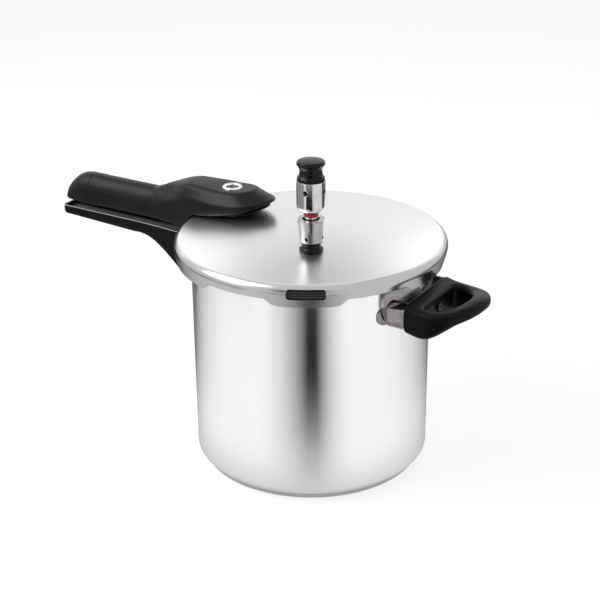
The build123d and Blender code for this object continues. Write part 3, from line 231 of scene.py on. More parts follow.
class LatheBrushing(Effect):
    """Fine lines that a polishing wheel leaves round a turned sheet."""

    name = "lathe_brushing"
    inputs = {
        "Tone": ("Color", (0.8, 0.8, 0.8, 1.0)), "Roughness": ("Float", 0.3), "Spread": ("Float", 0.1),
        "Along height": ("Float", 1.0), "Along radius": ("Float", 0.0), "Lines": ("Float", 900.0),
    }
    outputs = {"Color": "Color", "Roughness": "Float", "Height": "Float"}
    axis_gap: float = 0.001
    detail: float = 3.0
    patch_scale: float = 14.0
    line_share: float = 0.7
    tone_swing: float = 0.012
    tone_span: tuple[float, float] = (0.3, 0.7)

    def draw(self, graph: NodeGraph, given: bpy.types.NodeOutputs) -> Sockets:
        """Lines that follow circles about the axis, with slow patches of handling over them."""
        x, y, z = graph.coordinates()
        radius = graph.radius(x, y)
        across = graph.math("ADD", graph.math("MULTIPLY", z, given["Along height"]),
                            graph.math("MULTIPLY", radius, given["Along radius"]))
        seat = graph.add("CombineXYZ")
        safe = graph.math("MAXIMUM", radius, self.axis_gap)
        graph.feed(seat.inputs[0], graph.math("MULTIPLY", across, given["Lines"]))
        graph.feed(seat.inputs[1], graph.math("DIVIDE", x, safe))
        graph.feed(seat.inputs[2], graph.math("DIVIDE", y, safe))
        lines = graph.noise(seat.outputs[0], 1.0, self.detail)
        patches = graph.noise(graph.place(), self.patch_scale, self.detail)
        both = graph.math("ADD", graph.math("MULTIPLY", lines, self.line_share),
                          graph.math("MULTIPLY", patches, 1.0 - self.line_share))
        tone = graph.add("HueSaturation")
        graph.feed(tone.inputs["Color"], given["Tone"])
        light = graph.spread(both, 1.0 - self.tone_swing, 1.0 + self.tone_swing, *self.tone_span)
        graph.feed(tone.inputs["Value"], light)
        swing = graph.math("SUBTRACT", both, NOISE_MIDDLE)
        rough = graph.math("ADD", given["Roughness"], graph.math("MULTIPLY", swing, given["Spread"]))
        return {"Color": tone.outputs[0], "Roughness": rough, "Height": lines}


class MouldedGrain(Effect):
    """Fine spark-eroded grain of a moulded plastic, with slow changes of gloss."""

    name = "moulded_grain"
    inputs = {
        "Tone": ("Color", (0.02, 0.02, 0.02, 1.0)), "Rubbed": ("Color", (0.05, 0.05, 0.05, 1.0)),
        "Roughness": ("Float", 0.45), "Spread": ("Float", 0.12), "Grain": ("Float", 2600.0),
    }
    outputs = {"Color": "Color", "Roughness": "Float", "Height": "Float"}
    grain_detail: float = 2.0
    patch_scale: float = 32.0
    patch_detail: float = 4.0
    rubbed_span: tuple[float, float] = (0.2, 0.5)

    def draw(self, graph: NodeGraph, given: bpy.types.NodeOutputs) -> Sockets:
        """Small grains for the height, and wide soft patches for tone and gloss."""
        place = graph.place()
        grains = graph.noise(place, given["Grain"], self.grain_detail)
        patches = graph.noise(place, self.patch_scale, self.patch_detail)
        share = graph.spread(graph.math("MULTIPLY", grains, patches), 0.0, 1.0, *self.rubbed_span)
        colour = graph.mix(share, given["Tone"], given["Rubbed"])
        swing = graph.math("SUBTRACT", patches, NOISE_MIDDLE)
        rough = graph.math("ADD", given["Roughness"], graph.math("MULTIPLY", swing, given["Spread"]))
        return {"Color": colour, "Roughness": rough, "Height": grains}


class SoftEdges(Effect):
    """Small rounding of sharp edges, as a normal and as a mask of where it is."""

    name = "soft_edges"
    inputs = {"Radius": ("Float", 0.0006)}
    outputs = {"Normal": "Vector", "Edge": "Float"}
    samples: int = 6
    lean_span: tuple[float, float] = (0.75, 0.99)

    def draw(self, graph: NodeGraph, given: bpy.types.NodeOutputs) -> Sockets:
        """Rounded normal, and how far it leans from the face's own."""
        bevel = graph.add("Bevel", samples=self.samples)
        graph.feed(bevel.inputs["Radius"], given["Radius"])
        lean = graph.add("VectorMath", operation="DOT_PRODUCT")
        graph.feed(lean.inputs[0], bevel.outputs[0])
        graph.feed(lean.inputs[1], graph.add("NewGeometry").outputs["Normal"])
        edge = graph.spread(lean.outputs["Value"], 1.0, 0.0, *self.lean_span)
        return {"Normal": bevel.outputs[0], "Edge": edge}


class Ribs(Effect):
    """Low ribs round a turned moulding, one above the other."""

    name = "moulded_ribs"
    inputs = {"Pitch": ("Float", 0.0024), "Height": ("Float", 0.5), "Share": ("Float", 0.0)}
    outputs = {"Height": "Float", "Crest": "Float"}
    crest_span: tuple[float, float] = (0.25, 0.95)
    crest_height: float = 40.0

    def draw(self, graph: NodeGraph, given: bpy.types.NodeOutputs) -> Sockets:
        """A wave along the height, added to the moulding's own grain."""
        _, _, z = graph.coordinates()
        turn = graph.math("MULTIPLY", graph.math("DIVIDE", z, given["Pitch"]), 2.0 * math.pi)
        wave = graph.spread(graph.math("SINE", turn), 0.0, 1.0, *self.crest_span)
        # The crest mask is also where the moulded finishes paint a highlight on the ribs.
        crest = graph.math("MULTIPLY", wave, given["Share"])
        height = graph.math("ADD", given["Height"], graph.math("MULTIPLY", crest, self.crest_height))
        return {"Height": height, "Crest": crest}


class Handling(Effect):
    """Faint cloudy marks that hands and cloths leave on bright metal."""

    name = "handling"
    inputs = {"Roughness": ("Float", 0.06), "Spread": ("Float", 0.08), "Size": ("Float", 40.0)}
    outputs = {"Roughness": "Float", "Mask": "Float"}
    detail: float = 5.0
    mark_span: tuple[float, float] = (0.42, 0.72)

    def draw(self, graph: NodeGraph, given: bpy.types.NodeOutputs) -> Sockets:
        """Cloudy patches that raise the roughness a little."""
        clouds = graph.noise(graph.place(), given["Size"], self.detail)
        mask = graph.spread(clouds, 0.0, 1.0, *self.mark_span)
        rough = graph.math("ADD", given["Roughness"], graph.math("MULTIPLY", mask, given["Spread"]))
        return {"Roughness": rough, "Mask": mask}


BRUSHING = LatheBrushing()
GRAIN = MouldedGrain()
EDGES = SoftEdges()
HANDLING = Handling()
RIBS = Ribs()


def opaque(colour: Colour) -> tuple[float, float, float, float]:
    """The colour with full opacity, as sockets take it."""
    return (*colour, 1.0)


class Finish(ABC):
    """A finish that makes one material at its first use."""

    name: str

    @cache
    def material(self) -> bpy.types.Material:
        """Return the finish's material, made at its first use."""
        material = bpy.data.materials.new(self.name)
        material.use_nodes = True
        graph = NodeGraph(material.node_tree)
        self.paint(graph, material.node_tree.nodes["Principled BSDF"])
        return material

    @abstractmethod
    def paint(self, graph: NodeGraph, shader: bpy.types.Node) -> None:
        """Wire the finish's nodes to its shader.

        Args:
            graph: The material's tree.
            shader: The material's Principled BSDF.
        """

    def cover(self, mesh: bpy.types.Mesh) -> None:
        """Give a mesh this finish and no other."""
        mesh.materials.clear()
        mesh.materials.append(self.material())

    def rough_surface(self, graph: NodeGraph, shader: bpy.types.Node, height: Socket, depth: float,
                      edge_radius: float) -> Socket:
        """Give the shader a bump over softened edges.

        Args:
            graph: The material's tree.
            shader: The material's Principled BSDF.
            height: The height of the bump.
            depth: The bump's depth in metres.
            edge_radius: The rounding of sharp edges in metres.

        Returns:
            The mask of the softened edges.
        """
        edges = EDGES.place(graph, Radius=edge_radius)
        bump = graph.add("Bump")
        bump.inputs["Strength"].default_value = 1.0
        bump.inputs["Distance"].default_value = depth
        graph.feed(bump.inputs["Height"], height)
        graph.feed(bump.inputs["Normal"], edges["Normal"])
        graph.feed(shader.inputs["Normal"], bump.outputs[0])
        return edges["Edge"]


class Turning(Enum):
    """Which way the lines of a turned sheet follow one another: share of height, share of radius."""

    WALL = (1.0, 0.0)
    DOME = (0.2, 1.0)


@dataclass(frozen=True)
class BrushedSteel(Finish):
    """Satin stainless sheet with lines round its axis, and polished past a radius where it has one, with a
    darker tone there that is painted shade.
    """

    name: str
    tone: Colour
    roughness: float
    spread: float
    turning: Turning
    lines: float = 1500.0
    depth: float = 5.0e-7
    stretch: float = 0.6
    stretch_turn: float = 0.25
    polish_radius: Optional[float] = None
    polish_width: float = 0.0015
    polish_roughness: float = 0.20
    polish_spread: float = 0.06
    polish_marks: float = 45.0
    polish_shade_tone: Colour = (0.50, 0.488, 0.484)
    edge_radius: float = 0.0004

    def paint(self, graph: NodeGraph, shader: bpy.types.Node) -> None:
        """Brush the sheet, then polish it past its radius and give the polished band a darker tone as painted
        shade.
        """
        height_share, radius_share = self.turning.value
        brushed = BRUSHING.place(
            graph, Tone=opaque(self.tone), Roughness=self.roughness, Spread=self.spread,
            Along_height=height_share, Along_radius=radius_share, Lines=self.lines)
        shader.inputs["Metallic"].default_value = 1.0
        shader.inputs["Anisotropic"].default_value = self.stretch
        shader.inputs["Anisotropic Rotation"].default_value = self.stretch_turn
        colour = brushed["Color"]
        rough = brushed["Roughness"]
        height = brushed["Height"]
        if self.polish_radius is not None:
            polish = self.polished(graph)
            marks = HANDLING.place(graph, Roughness=self.polish_roughness, Spread=self.polish_spread,
                                   Size=self.polish_marks)
            rest = graph.rest(polish)
            rough = graph.math("ADD", graph.math("MULTIPLY", rough, rest),
                               graph.math("MULTIPLY", marks["Roughness"], polish))
            height = graph.math("MULTIPLY", height, rest)
            # Painted shade: the polished band's darker tone stands in for the dark surroundings it reflects.
            colour = graph.mix(polish, colour, opaque(self.polish_shade_tone))
        graph.feed(shader.inputs["Base Color"], colour)
        graph.feed(shader.inputs["Roughness"], rough)
        self.rough_surface(graph, shader, height, self.depth, self.edge_radius)

    def polished(self, graph: NodeGraph) -> Socket:
        """Mask of the polished band outside the finish's radius."""
        x, y, _ = graph.coordinates()
        start = self.polish_radius - self.polish_width
        return graph.spread(graph.radius(x, y), 0.0, 1.0, start, self.polish_radius)


@dataclass(frozen=True)
class BrightSteel(Finish):
    """Bright or machined metal with faint marks of handling."""

    name: str
    tone: Colour
    dulled: Colour
    roughness: float
    spread: float
    marks: float = 90.0
    depth: float = 1.0e-6
    edge_radius: float = 0.0003

    def paint(self, graph: NodeGraph, shader: bpy.types.Node) -> None:
        """Plain metal with cloudy marks."""
        marks = HANDLING.place(graph, Roughness=self.roughness, Spread=self.spread, Size=self.marks)
        colour = graph.mix(marks["Mask"], opaque(self.tone), opaque(self.dulled))
        shader.inputs["Metallic"].default_value = 1.0
        graph.feed(shader.inputs["Base Color"], colour)
        graph.feed(shader.inputs["Roughness"], marks["Roughness"])
        self.rough_surface(graph, shader, marks["Mask"], self.depth, self.edge_radius)


@dataclass(frozen=True)
class Moulded(Finish):
    """Moulded plastic or rubber with a fine grain, and a lighter tone along its edges as painted highlight.
    """

    name: str
    tone: Colour
    rubbed: Colour
    edge_highlight: Colour
    roughness: float
    spread: float
    specular: float
    grain: float = 2600.0
    depth: float = 1.2e-5
    edge_radius: float = 0.0007
    ribbed: float = 0.0

    def paint(self, graph: NodeGraph, shader: bpy.types.Node) -> None:
        """Grain all over, ribs where the moulding has them, and a painted highlight: a lighter tone along
        edges and rib crests.
        """
        grain = GRAIN.place(graph, Tone=opaque(self.tone), Rubbed=opaque(self.rubbed),
                            Roughness=self.roughness, Spread=self.spread, Grain=self.grain)
        shader.inputs["Specular IOR Level"].default_value = self.specular
        height, light = grain["Height"], None
        if self.ribbed:
            ribs = RIBS.place(graph, Height=height, Share=self.ribbed)
            height, light = ribs["Height"], ribs["Crest"]
        edge = self.rough_surface(graph, shader, height, self.depth, self.edge_radius)
        # Painted highlight: the lighter colour goes on edges and rib crests, where light would catch them.
        share = edge if light is None else graph.math("MAXIMUM", edge, light)
        graph.feed(shader.inputs["Base Color"], graph.mix(share, grain["Color"], opaque(self.edge_highlight)))
        graph.feed(shader.inputs["Roughness"], grain["Roughness"])


POT_STEEL = BrushedSteel("pot_satin_steel", (0.91, 0.906, 0.90), 0.15, 0.03, Turning.WALL)
LID_STEEL = BrushedSteel("lid_satin_steel", (0.83, 0.82, 0.817), 0.31, 0.04, Turning.DOME, stretch=0.2,
                         polish_radius=0.1228)
BASE_STEEL = BrushedSteel("base_satin_steel", (0.58, 0.575, 0.57), 0.30, 0.10, Turning.WALL)
BEZEL_STEEL = BrightSteel("bezel_steel", (0.86, 0.86, 0.86), (0.78, 0.77, 0.76), 0.20, 0.05)
WEIGHT_STEEL = BrightSteel("weight_steel", (0.68, 0.675, 0.67), (0.58, 0.575, 0.57), 0.04, 0.06)
CUP_STEEL = BrightSteel("cup_steel", (0.46, 0.455, 0.45), (0.36, 0.355, 0.35), 0.06, 0.06)
FITTING_STEEL = BrightSteel("machined_steel", (0.62, 0.61, 0.60), (0.52, 0.51, 0.50), 0.24, 0.14)
# The bracket's dark tone is partly painted shade: it stands in for the shade and dark reflections between the
# lid's rim and the loop handle.
BRACKET_STEEL_SHADED = BrightSteel("bracket_steel_painted_shade", (0.29, 0.275, 0.27), (0.21, 0.20, 0.195), 0.06, 0.06)
BLACKED_STEEL = BrightSteel("blacked_steel", (0.035, 0.035, 0.036), (0.05, 0.05, 0.05), 0.30, 0.10)
CORE_METAL = BrightSteel("plain_aluminium", (0.78, 0.78, 0.79), (0.70, 0.70, 0.71), 0.38, 0.12)
# The third colour of each moulded finish is its painted highlight along edges and rib crests.
HANDLE_BLACK = Moulded("moulded_black", (0.003, 0.003, 0.0032), (0.008, 0.008, 0.0084), (0.030, 0.030, 0.031),
                       0.36, 0.12, 0.20, grain=1500.0, depth=2.4e-5)
POT_BLACK = Moulded("pot_moulded_black", (0.0025, 0.0025, 0.0027), (0.006, 0.006, 0.0063),
                    (0.020, 0.020, 0.0205), 0.36, 0.12, 0.12, grain=1500.0, depth=2.4e-5)
# Light grey all over: the rim line is a painted highlight on the lower handle's top edge.
RIM_HIGHLIGHT = Moulded("painted_rim_highlight", (0.52, 0.52, 0.522), (0.60, 0.60, 0.602), (0.62, 0.62, 0.622),
                     0.36, 0.12, 0.40, grain=1500.0, edge_radius=0.0002)
KNOB_BLACK = Moulded("gloss_black", (0.004, 0.004, 0.0042), (0.006, 0.006, 0.0063), (0.010, 0.010, 0.0105),
                     0.14, 0.06, 0.18, grain=900.0, depth=2.0e-6)
GASKET_GREY = Moulded("gasket_rubber", (0.010, 0.011, 0.011), (0.018, 0.019, 0.019), (0.16, 0.165, 0.168),
                      0.36, 0.10, 0.40, grain=1800.0, ribbed=0.8)
RING_RED = Moulded("red_silicone", (0.50, 0.012, 0.022), (0.56, 0.03, 0.04), (0.62, 0.06, 0.07),
                   0.32, 0.08, 0.45, grain=1800.0, depth=4.0e-6)
PIN_DARK = Moulded("dark_pin", (0.014, 0.014, 0.015), (0.03, 0.03, 0.031), (0.05, 0.05, 0.05),
                   0.30, 0.08, 0.45, grain=1800.0, depth=4.0e-6)


def share_of(value: float, start: float, end: float, most: float = 1.0) -> float:
    """Turn a number into a straight share from 0 at the start of a span to 1 at its end, or to a limit."""
    return min(max((value - start) / (end - start), 0.0), most)


def ease(value: float, start: float, end: float) -> float:
    """Turn a number into a smooth share from 0 at the start of a span to 1 at its end."""
    share = share_of(value, start, end)
    return share * share * (3.0 - 2.0 * share)


@dataclass
class Moulding(ABC):
    """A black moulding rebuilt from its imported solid, with the soft flowing skin of the real one."""

    node: str
    body: str
    slot: str = "handle_black"
    voxel: float = 0.0009
    rounds: int = 22
    crisp_rounds: int = 3
    smoothing: float = 0.5
    keep: float = 0.5

    @abstractmethod
    def flow(self, point: Vector) -> Vector:
        """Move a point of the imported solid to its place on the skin."""

    def crisp(self, point: Vector) -> bool:
        """Tell whether the skin stays crisp at a point."""
        return False

    def build(self, nodes: Nodes, finish: Finish) -> None:
        """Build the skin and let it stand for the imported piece.

        Args:
            nodes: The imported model's pieces by name.
            finish: The skin's finish.
        """
        skin = bpy.data.objects.new(f"{self.node}_skin", nodes[self.node].data.copy())
        bpy.context.scene.collection.objects.link(skin)
        remesh = skin.modifiers.new("even", "REMESH")
        remesh.mode = "VOXEL"
        remesh.voxel_size = self.voxel
        self.apply(skin)
        self.shape(skin.data)
        thin = skin.modifiers.new("thin", "DECIMATE")
        thin.ratio = self.keep
        self.apply(skin)
        skin.data.shade_smooth()
        finish.cover(skin.data)
        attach(skin, self.body)
        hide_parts(self.node)
        LOG.info("%s has a skin of %d faces", self.node, len(skin.data.polygons))

    def shape(self, mesh: bpy.types.Mesh) -> None:
        """Move a mesh of even faces to the skin's places and smooth it, only a little where it is crisp."""
        grid = bmesh.new()
        grid.from_mesh(mesh)
        for vertex in grid.verts:
            vertex.co = self.flow(vertex.co)
        soft = [vertex for vertex in grid.verts if not self.crisp(vertex.co)]
        for turn in range(self.rounds):
            bmesh.ops.smooth_vert(grid, verts=grid.verts if turn < self.crisp_rounds else soft,
                                  factor=self.smoothing, use_axis_x=True, use_axis_y=True, use_axis_z=True)
        grid.to_mesh(mesh)
        grid.free()

    def apply(self, skin: bpy.types.Object) -> None:
        """Bake the skin's modifiers into its mesh."""
        shown = skin.evaluated_get(bpy.context.evaluated_depsgraph_get())
        mesh = bpy.data.meshes.new_from_object(shown)
        skin.modifiers.clear()
        skin.data = mesh


@dataclass
class LidHandleMoulding(Moulding):
    """Upper handle: arched grip with a rounded end, crowned nose and pointed tip.

    A pair is the start and the end of a stretch along the handle. In heel_foot it is a place and its height.
    """

    grip_half: float = 0.0132
    grip_shoulder: float = 0.217
    grip_top: float = 0.2358
    arch: float = 0.011
    neck: tuple[float, float] = (-0.182, -0.142)
    end: tuple[float, float] = (-0.262, -0.2882)
    end_low: float = 0.2103
    end_slope: float = 0.8727
    end_round: float = 0.75
    end_pinch: float = 0.20
    end_pinch_power: int = 4
    heel_foot: tuple[float, float] = (-0.164, 0.2410)
    heel_slope: float = 0.6675
    nose: tuple[float, float] = (-0.174, -0.128)
    nose_floor: float = 0.232
    nose_start: float = 0.2368
    crown: float = 0.0010
    crown_middle: float = -0.122
    crown_length: float = 0.030
    crown_half: float = 0.021
    crease: float = 0.239
    nose_top: float = 0.2502
    tip: tuple[float, float] = (-0.106, -0.048)
    tip_most: float = 1.2
    tip_power: int = 3
    tip_reach: float = 0.0062
    tip_lift: float = 0.0066
    tip_pinch: float = 0.10
    tip_pinch_power: float = 2.4
    tip_taper: float = 0.34
    tip_taper_power: int = 6
    seam: float = -0.252
    seam_half: float = 0.0075
    overlap: float = 0.0

    def flow(self, point: Vector) -> Vector:
        """Arch the grip, round its end, crown the nose and draw out its tip."""
        x, y, z = point
        aside = min(abs(y) / self.grip_half, 1.0)
        lift = share_of(z, self.grip_shoulder, self.grip_top)
        on_grip = 1.0 - ease(x, *self.neck)
        high = ease(z, self.crease, self.nose_top)
        near_tip = share_of(x, *self.tip, most=self.tip_most)
        drawn_out = near_tip ** self.tip_power
        tapered = self.tip_taper * near_tip ** self.tip_taper_power
        along = max(1.0 - ((x - self.crown_middle) / self.crown_length) ** 2, 0.0)
        across = max(1.0 - (y / self.crown_half) ** 2, 0.0)
        if z > self.nose_floor:
            z = self.nose_floor + (z - self.nose_floor) * self.nose_arch(x)
        z -= on_grip * self.arch * lift * (1.0 - math.sqrt(1.0 - aside * aside))
        z += self.crown * along * across * high
        z += self.tip_lift * drawn_out + tapered * (self.crease - z)
        x += self.tip_reach * drawn_out
        x += self.overlap * ease(point.x, self.seam - 2.0 * self.seam_half, self.seam - self.seam_half)
        y *= 1.0 - self.tip_pinch * near_tip ** self.tip_pinch_power
        return self.rounded_end(Vector((x, y, z)), point.z)

    def nose_arch(self, x: float) -> float:
        """Share of its packed height that the nose has at a place, so that it rises in one soft arch."""
        along = (x - self.nose[0]) / (self.nose[1] - self.nose[0])
        if not 0.0 < along < 1.0:
            return 1.0
        packed = self.heel_foot[1] + self.heel_slope * (x - self.heel_foot[0])
        packed = min(max(packed, self.nose_start), self.nose_top)
        arched = self.nose_start + (self.nose_top - self.nose_start) * math.sin(0.5 * math.pi * along)
        return (arched - self.nose_floor) / (packed - self.nose_floor)

    def rounded_end(self, point: Vector, packed_height: float) -> Vector:
        """Round the slanted end of the grip.

        Args:
            point: A point that has its place apart from the end's rounding.
            packed_height: The point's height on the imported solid.

        Returns:
            The point's place on the rounded end.
        """
        if point.x > self.end[0]:
            return point
        length = self.end[0] - self.end[1]
        above = min(max(packed_height - self.end_low, 0.0), self.grip_top - self.end_low)
        slanted = length - self.end_slope * above
        bullet = length * math.sqrt(1.0 - (above / (self.grip_top - self.end_low)) ** 2)
        share = min((self.end[0] - point.x) / slanted, 1.0)
        reach = slanted + self.end_round * (bullet - slanted)
        width = 1.0 - self.end_pinch * share ** self.end_pinch_power
        return Vector((self.end[0] - share * reach, point.y * width, point.z))

    def crisp(self, point: Vector) -> bool:
        """Keep the seam of the end piece and the bevel of the nose crisp."""
        on_seam = abs(point.x - self.seam) < self.seam_half
        on_nose = point.x > self.neck[1] and point.z > self.nose_floor
        return on_seam or on_nose


@dataclass
class LoopMoulding(Moulding):
    """Loop handle, deep at its root, slim at its tip, with limbs that swell into the opening.

    Root is where the deepening starts, is deepest and ends, and under is the height over which it fades.
    """

    middle: tuple[float, float] = (0.138, 0.0)
    inner: float = 0.030
    empty: float = 0.024
    fade: float = 0.008
    swell: float = 0.005
    under: tuple[float, float] = (0.172, 0.186)
    root: tuple[float, float, float] = (0.117, 0.140, 0.170)
    deepen: float = 0.0045
    slim: float = 0.0030

    def flow(self, point: Vector) -> Vector:
        """Swell the limbs inwards, deepen the root and slim the tip from below."""
        low = 1.0 - ease(point.z, *self.under)
        start, middle, end = self.root
        deep = ease(point.x, start, middle) * (1.0 - ease(point.x, middle, end))
        drop = low * (self.deepen * deep - self.slim * ease(point.x, middle, end))
        return self.swollen(point) - Vector((0.0, 0.0, drop))

    def swollen(self, point: Vector) -> Vector:
        """Swell the limbs into the opening."""
        out = Vector((point.x - self.middle[0], point.y - self.middle[1], 0.0))
        radius = out.length
        if radius < self.empty or point.x < self.middle[0]:
            return point
        share = 1.0 - ease(radius, self.inner, self.inner + self.fade)
        share *= ease(point.x, self.middle[0], self.middle[0] + self.inner)
        return point - out.normalized() * self.swell * share


@dataclass
class RimHighlightBead:
    """Fine light tube along the outer top edge of the lower handle, a painted highlight where light catches
    the rim.

    Its edge lies between a top face and a wall, told by how far their normals lean up, aside and to the pot.
    """

    node: str = "pot_handle"
    body: str = "pot"
    slot: str = "handle_black"
    level: float = 0.198
    middle: float = -0.20
    radius: float = 0.00042
    weld: float = 1.0e-6
    top_lean: float = 0.85
    wall_lean: float = 0.5
    end_lean: float = -0.3
    pot_lean: float = 0.7
    side_lean: float = 0.003

    def on_rim(self, edge: bmesh.types.BMEdge) -> bool:
        """Tell whether an edge of the handle lies on the path of the painted highlight line."""
        if len(edge.link_faces) != 2 or min(vertex.co.z for vertex in edge.verts) < self.level:
            return False
        wall, top = self.normals(edge)
        outwards = wall.y * sum(vertex.co.y for vertex in edge.verts) > self.side_lean
        upright = top.z > self.top_lean and abs(wall.z) < self.wall_lean
        return upright and (wall.x < self.end_lean or outwards) and wall.x < self.pot_lean

    def normals(self, edge: bmesh.types.BMEdge) -> list[Vector]:
        """Normals of an edge's faces, the one that leans up most last."""
        return sorted((face.normal for face in edge.link_faces), key=lambda normal: normal.z)

    def rim(self, mesh: bpy.types.Mesh) -> list[Vector]:
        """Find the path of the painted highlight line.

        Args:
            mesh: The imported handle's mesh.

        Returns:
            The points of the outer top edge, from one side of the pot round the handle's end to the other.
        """
        grid = bmesh.new()
        grid.from_mesh(mesh)
        bmesh.ops.remove_doubles(grid, verts=grid.verts, dist=self.weld)
        found: dict[bmesh.types.BMVert, Vector] = {}
        for edge in filter(self.on_rim, grid.edges):
            wall = self.normals(edge)[0]
            found.update({vertex: vertex.co - wall * self.radius for vertex in edge.verts})
        points = sorted(found.values(), key=lambda point: math.atan2(point.y, self.middle - point.x))
        grid.free()
        return points

    def build(self, nodes: Nodes, finish: Finish) -> None:
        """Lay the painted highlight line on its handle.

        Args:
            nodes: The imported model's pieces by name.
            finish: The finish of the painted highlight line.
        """
        name = f"{self.node}_bead"
        points = self.rim(nodes[self.node].data)
        curve = bpy.data.curves.new(name, "CURVE")
        curve.dimensions = "3D"
        curve.bevel_depth = self.radius
        curve.use_fill_caps = True
        line = curve.splines.new("POLY")
        line.points.add(len(points) - 1)
        for spot, point in zip(line.points, points):
            spot.co = (*point, 1.0)
        drawn = bpy.data.objects.new(name, curve)
        bpy.context.scene.collection.objects.link(drawn)
        mesh = bpy.data.meshes.new_from_object(drawn.evaluated_get(bpy.context.evaluated_depsgraph_get()))
        bpy.data.objects.remove(drawn)
        highlight_bead = bpy.data.objects.new(name, mesh)
        bpy.context.scene.collection.objects.link(highlight_bead)
        mesh.shade_smooth()
        finish.cover(mesh)
        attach(highlight_bead, self.body)
        LOG.info("%s runs along %d points", name, len(points))


class SubAssembly:
    """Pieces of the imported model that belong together, with the finish of each and the skins over them."""

    finishes: Mapping[str, Finish] = {}
    skins: Sequence[Moulding] = ()

    def dress(self, nodes: Nodes) -> None:
        """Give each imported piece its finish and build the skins.

        Args:
            nodes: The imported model's pieces by name.
        """
        for node, finish in self.finishes.items():
            finish.cover(nodes[node].data)
            LOG.info("%s wears %s", node, finish.name)
        for skin in self.skins:
            skin.build(nodes, self.finishes[skin.node])


@dataclass
class Pot(SubAssembly):
    """Drawn pot with its encased base."""

    finishes: Mapping[str, Finish] = field(default_factory=lambda: {
        "pot_body": POT_STEEL, "base_core": CORE_METAL, "base_cap": BASE_STEEL})


@dataclass
class LoopHandle(SubAssembly):
    """Loop handle with its bracket and screw."""

    finishes: Mapping[str, Finish] = field(default_factory=lambda: {
        "helper_bracket": BRACKET_STEEL_SHADED, "helper_handle": POT_BLACK, "helper_screw": BLACKED_STEEL})
    skins: Sequence[Moulding] = field(default_factory=lambda: (
        LoopMoulding("helper_handle", "pot", rounds=6),))


@dataclass
class PotHandle(SubAssembly):
    """Lower long handle with its strap and screw."""

    finishes: Mapping[str, Finish] = field(default_factory=lambda: {
        "pot_handle": POT_BLACK, "pot_strap": FITTING_STEEL, "pot_handle_screw": FITTING_STEEL})
    highlight_bead: RimHighlightBead = field(default_factory=RimHighlightBead)

    def dress(self, nodes: Nodes) -> None:
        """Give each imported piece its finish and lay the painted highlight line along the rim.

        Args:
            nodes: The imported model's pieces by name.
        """
        super().dress(nodes)
        # The rim line is a light tube, a painted highlight along the handle's top edge.
        self.highlight_bead.build(nodes, RIM_HIGHLIGHT)


@dataclass
class Lid(SubAssembly):
    """Domed lid with its gasket."""

    finishes: Mapping[str, Finish] = field(default_factory=lambda: {
        "lid_shell": LID_STEEL, "lid_gasket": GASKET_GREY})


@dataclass
class LidHandle(SubAssembly):
    """Upper long handle with its strap, screw and pressure indicator."""

    finishes: Mapping[str, Finish] = field(default_factory=lambda: {
        "lid_handle": HANDLE_BLACK, "lid_handle_tail": HANDLE_BLACK, "lid_handle_base": HANDLE_BLACK,
        "lid_strap": FITTING_STEEL, "lid_handle_screw": FITTING_STEEL, "indicator_bezel": BEZEL_STEEL,
        "indicator_bush": FITTING_STEEL, "indicator_nut": FITTING_STEEL, "indicator_pin": PIN_DARK,
        "indicator_seal": GASKET_GREY})
    skins: Sequence[Moulding] = field(default_factory=lambda: (
        LidHandleMoulding("lid_handle", "lid"), LidHandleMoulding("lid_handle_tail", "lid", overlap=0.0012),
        LidHandleMoulding("lid_handle_base", "lid")))


@dataclass
class VentTower(SubAssembly):
    """Steam pipe with its collar and cup, and the regulator weight on it."""

    finishes: Mapping[str, Finish] = field(default_factory=lambda: {
        "vent_pipe": FITTING_STEEL, "vent_collar": KNOB_BLACK, "vent_cup": CUP_STEEL,
        "vent_seal": GASKET_GREY, "vent_nut": FITTING_STEEL, "vent_screen": FITTING_STEEL,
        "weight_core": FITTING_STEEL, "weight_needle": FITTING_STEEL, "weight_ring": RING_RED,
        "weight_clip": FITTING_STEEL, "weight_shell": WEIGHT_STEEL, "weight_knob": KNOB_BLACK})


@dataclass(frozen=True)
class Shade:
    """A soft dark patch that the floor shows to the metal.

    Angles are in degrees. The patch fades out over a pair of angles to the right and to the left of its
    middle line, fades in over the near pair of radii and fades out over the far pair.
    """

    name: str
    dark: float
    facing: float
    right: tuple[float, float]
    left: tuple[float, float]
    near: tuple[float, float]
    far: tuple[float, float]


@dataclass(frozen=True)
class DarkSky:
    """A soft dark patch of the sky that the metal reflects, in degrees: where it is and where it fades."""

    name: str
    dark: float
    turn: float
    rise: float
    core: float
    edge: float


@dataclass(frozen=True)
class Lamp:
    """A square soft lamp aimed at the pot, with its angles in degrees."""

    name: str
    power: float
    side: float
    turn: float
    rise: float
    distance: float


def direction(turn: float, rise: float) -> Vector:
    """Unit vector along a turn about +Z and a rise above the floor, both in radians."""
    return Vector((math.cos(rise) * math.cos(turn), math.cos(rise) * math.sin(turn), math.sin(rise)))


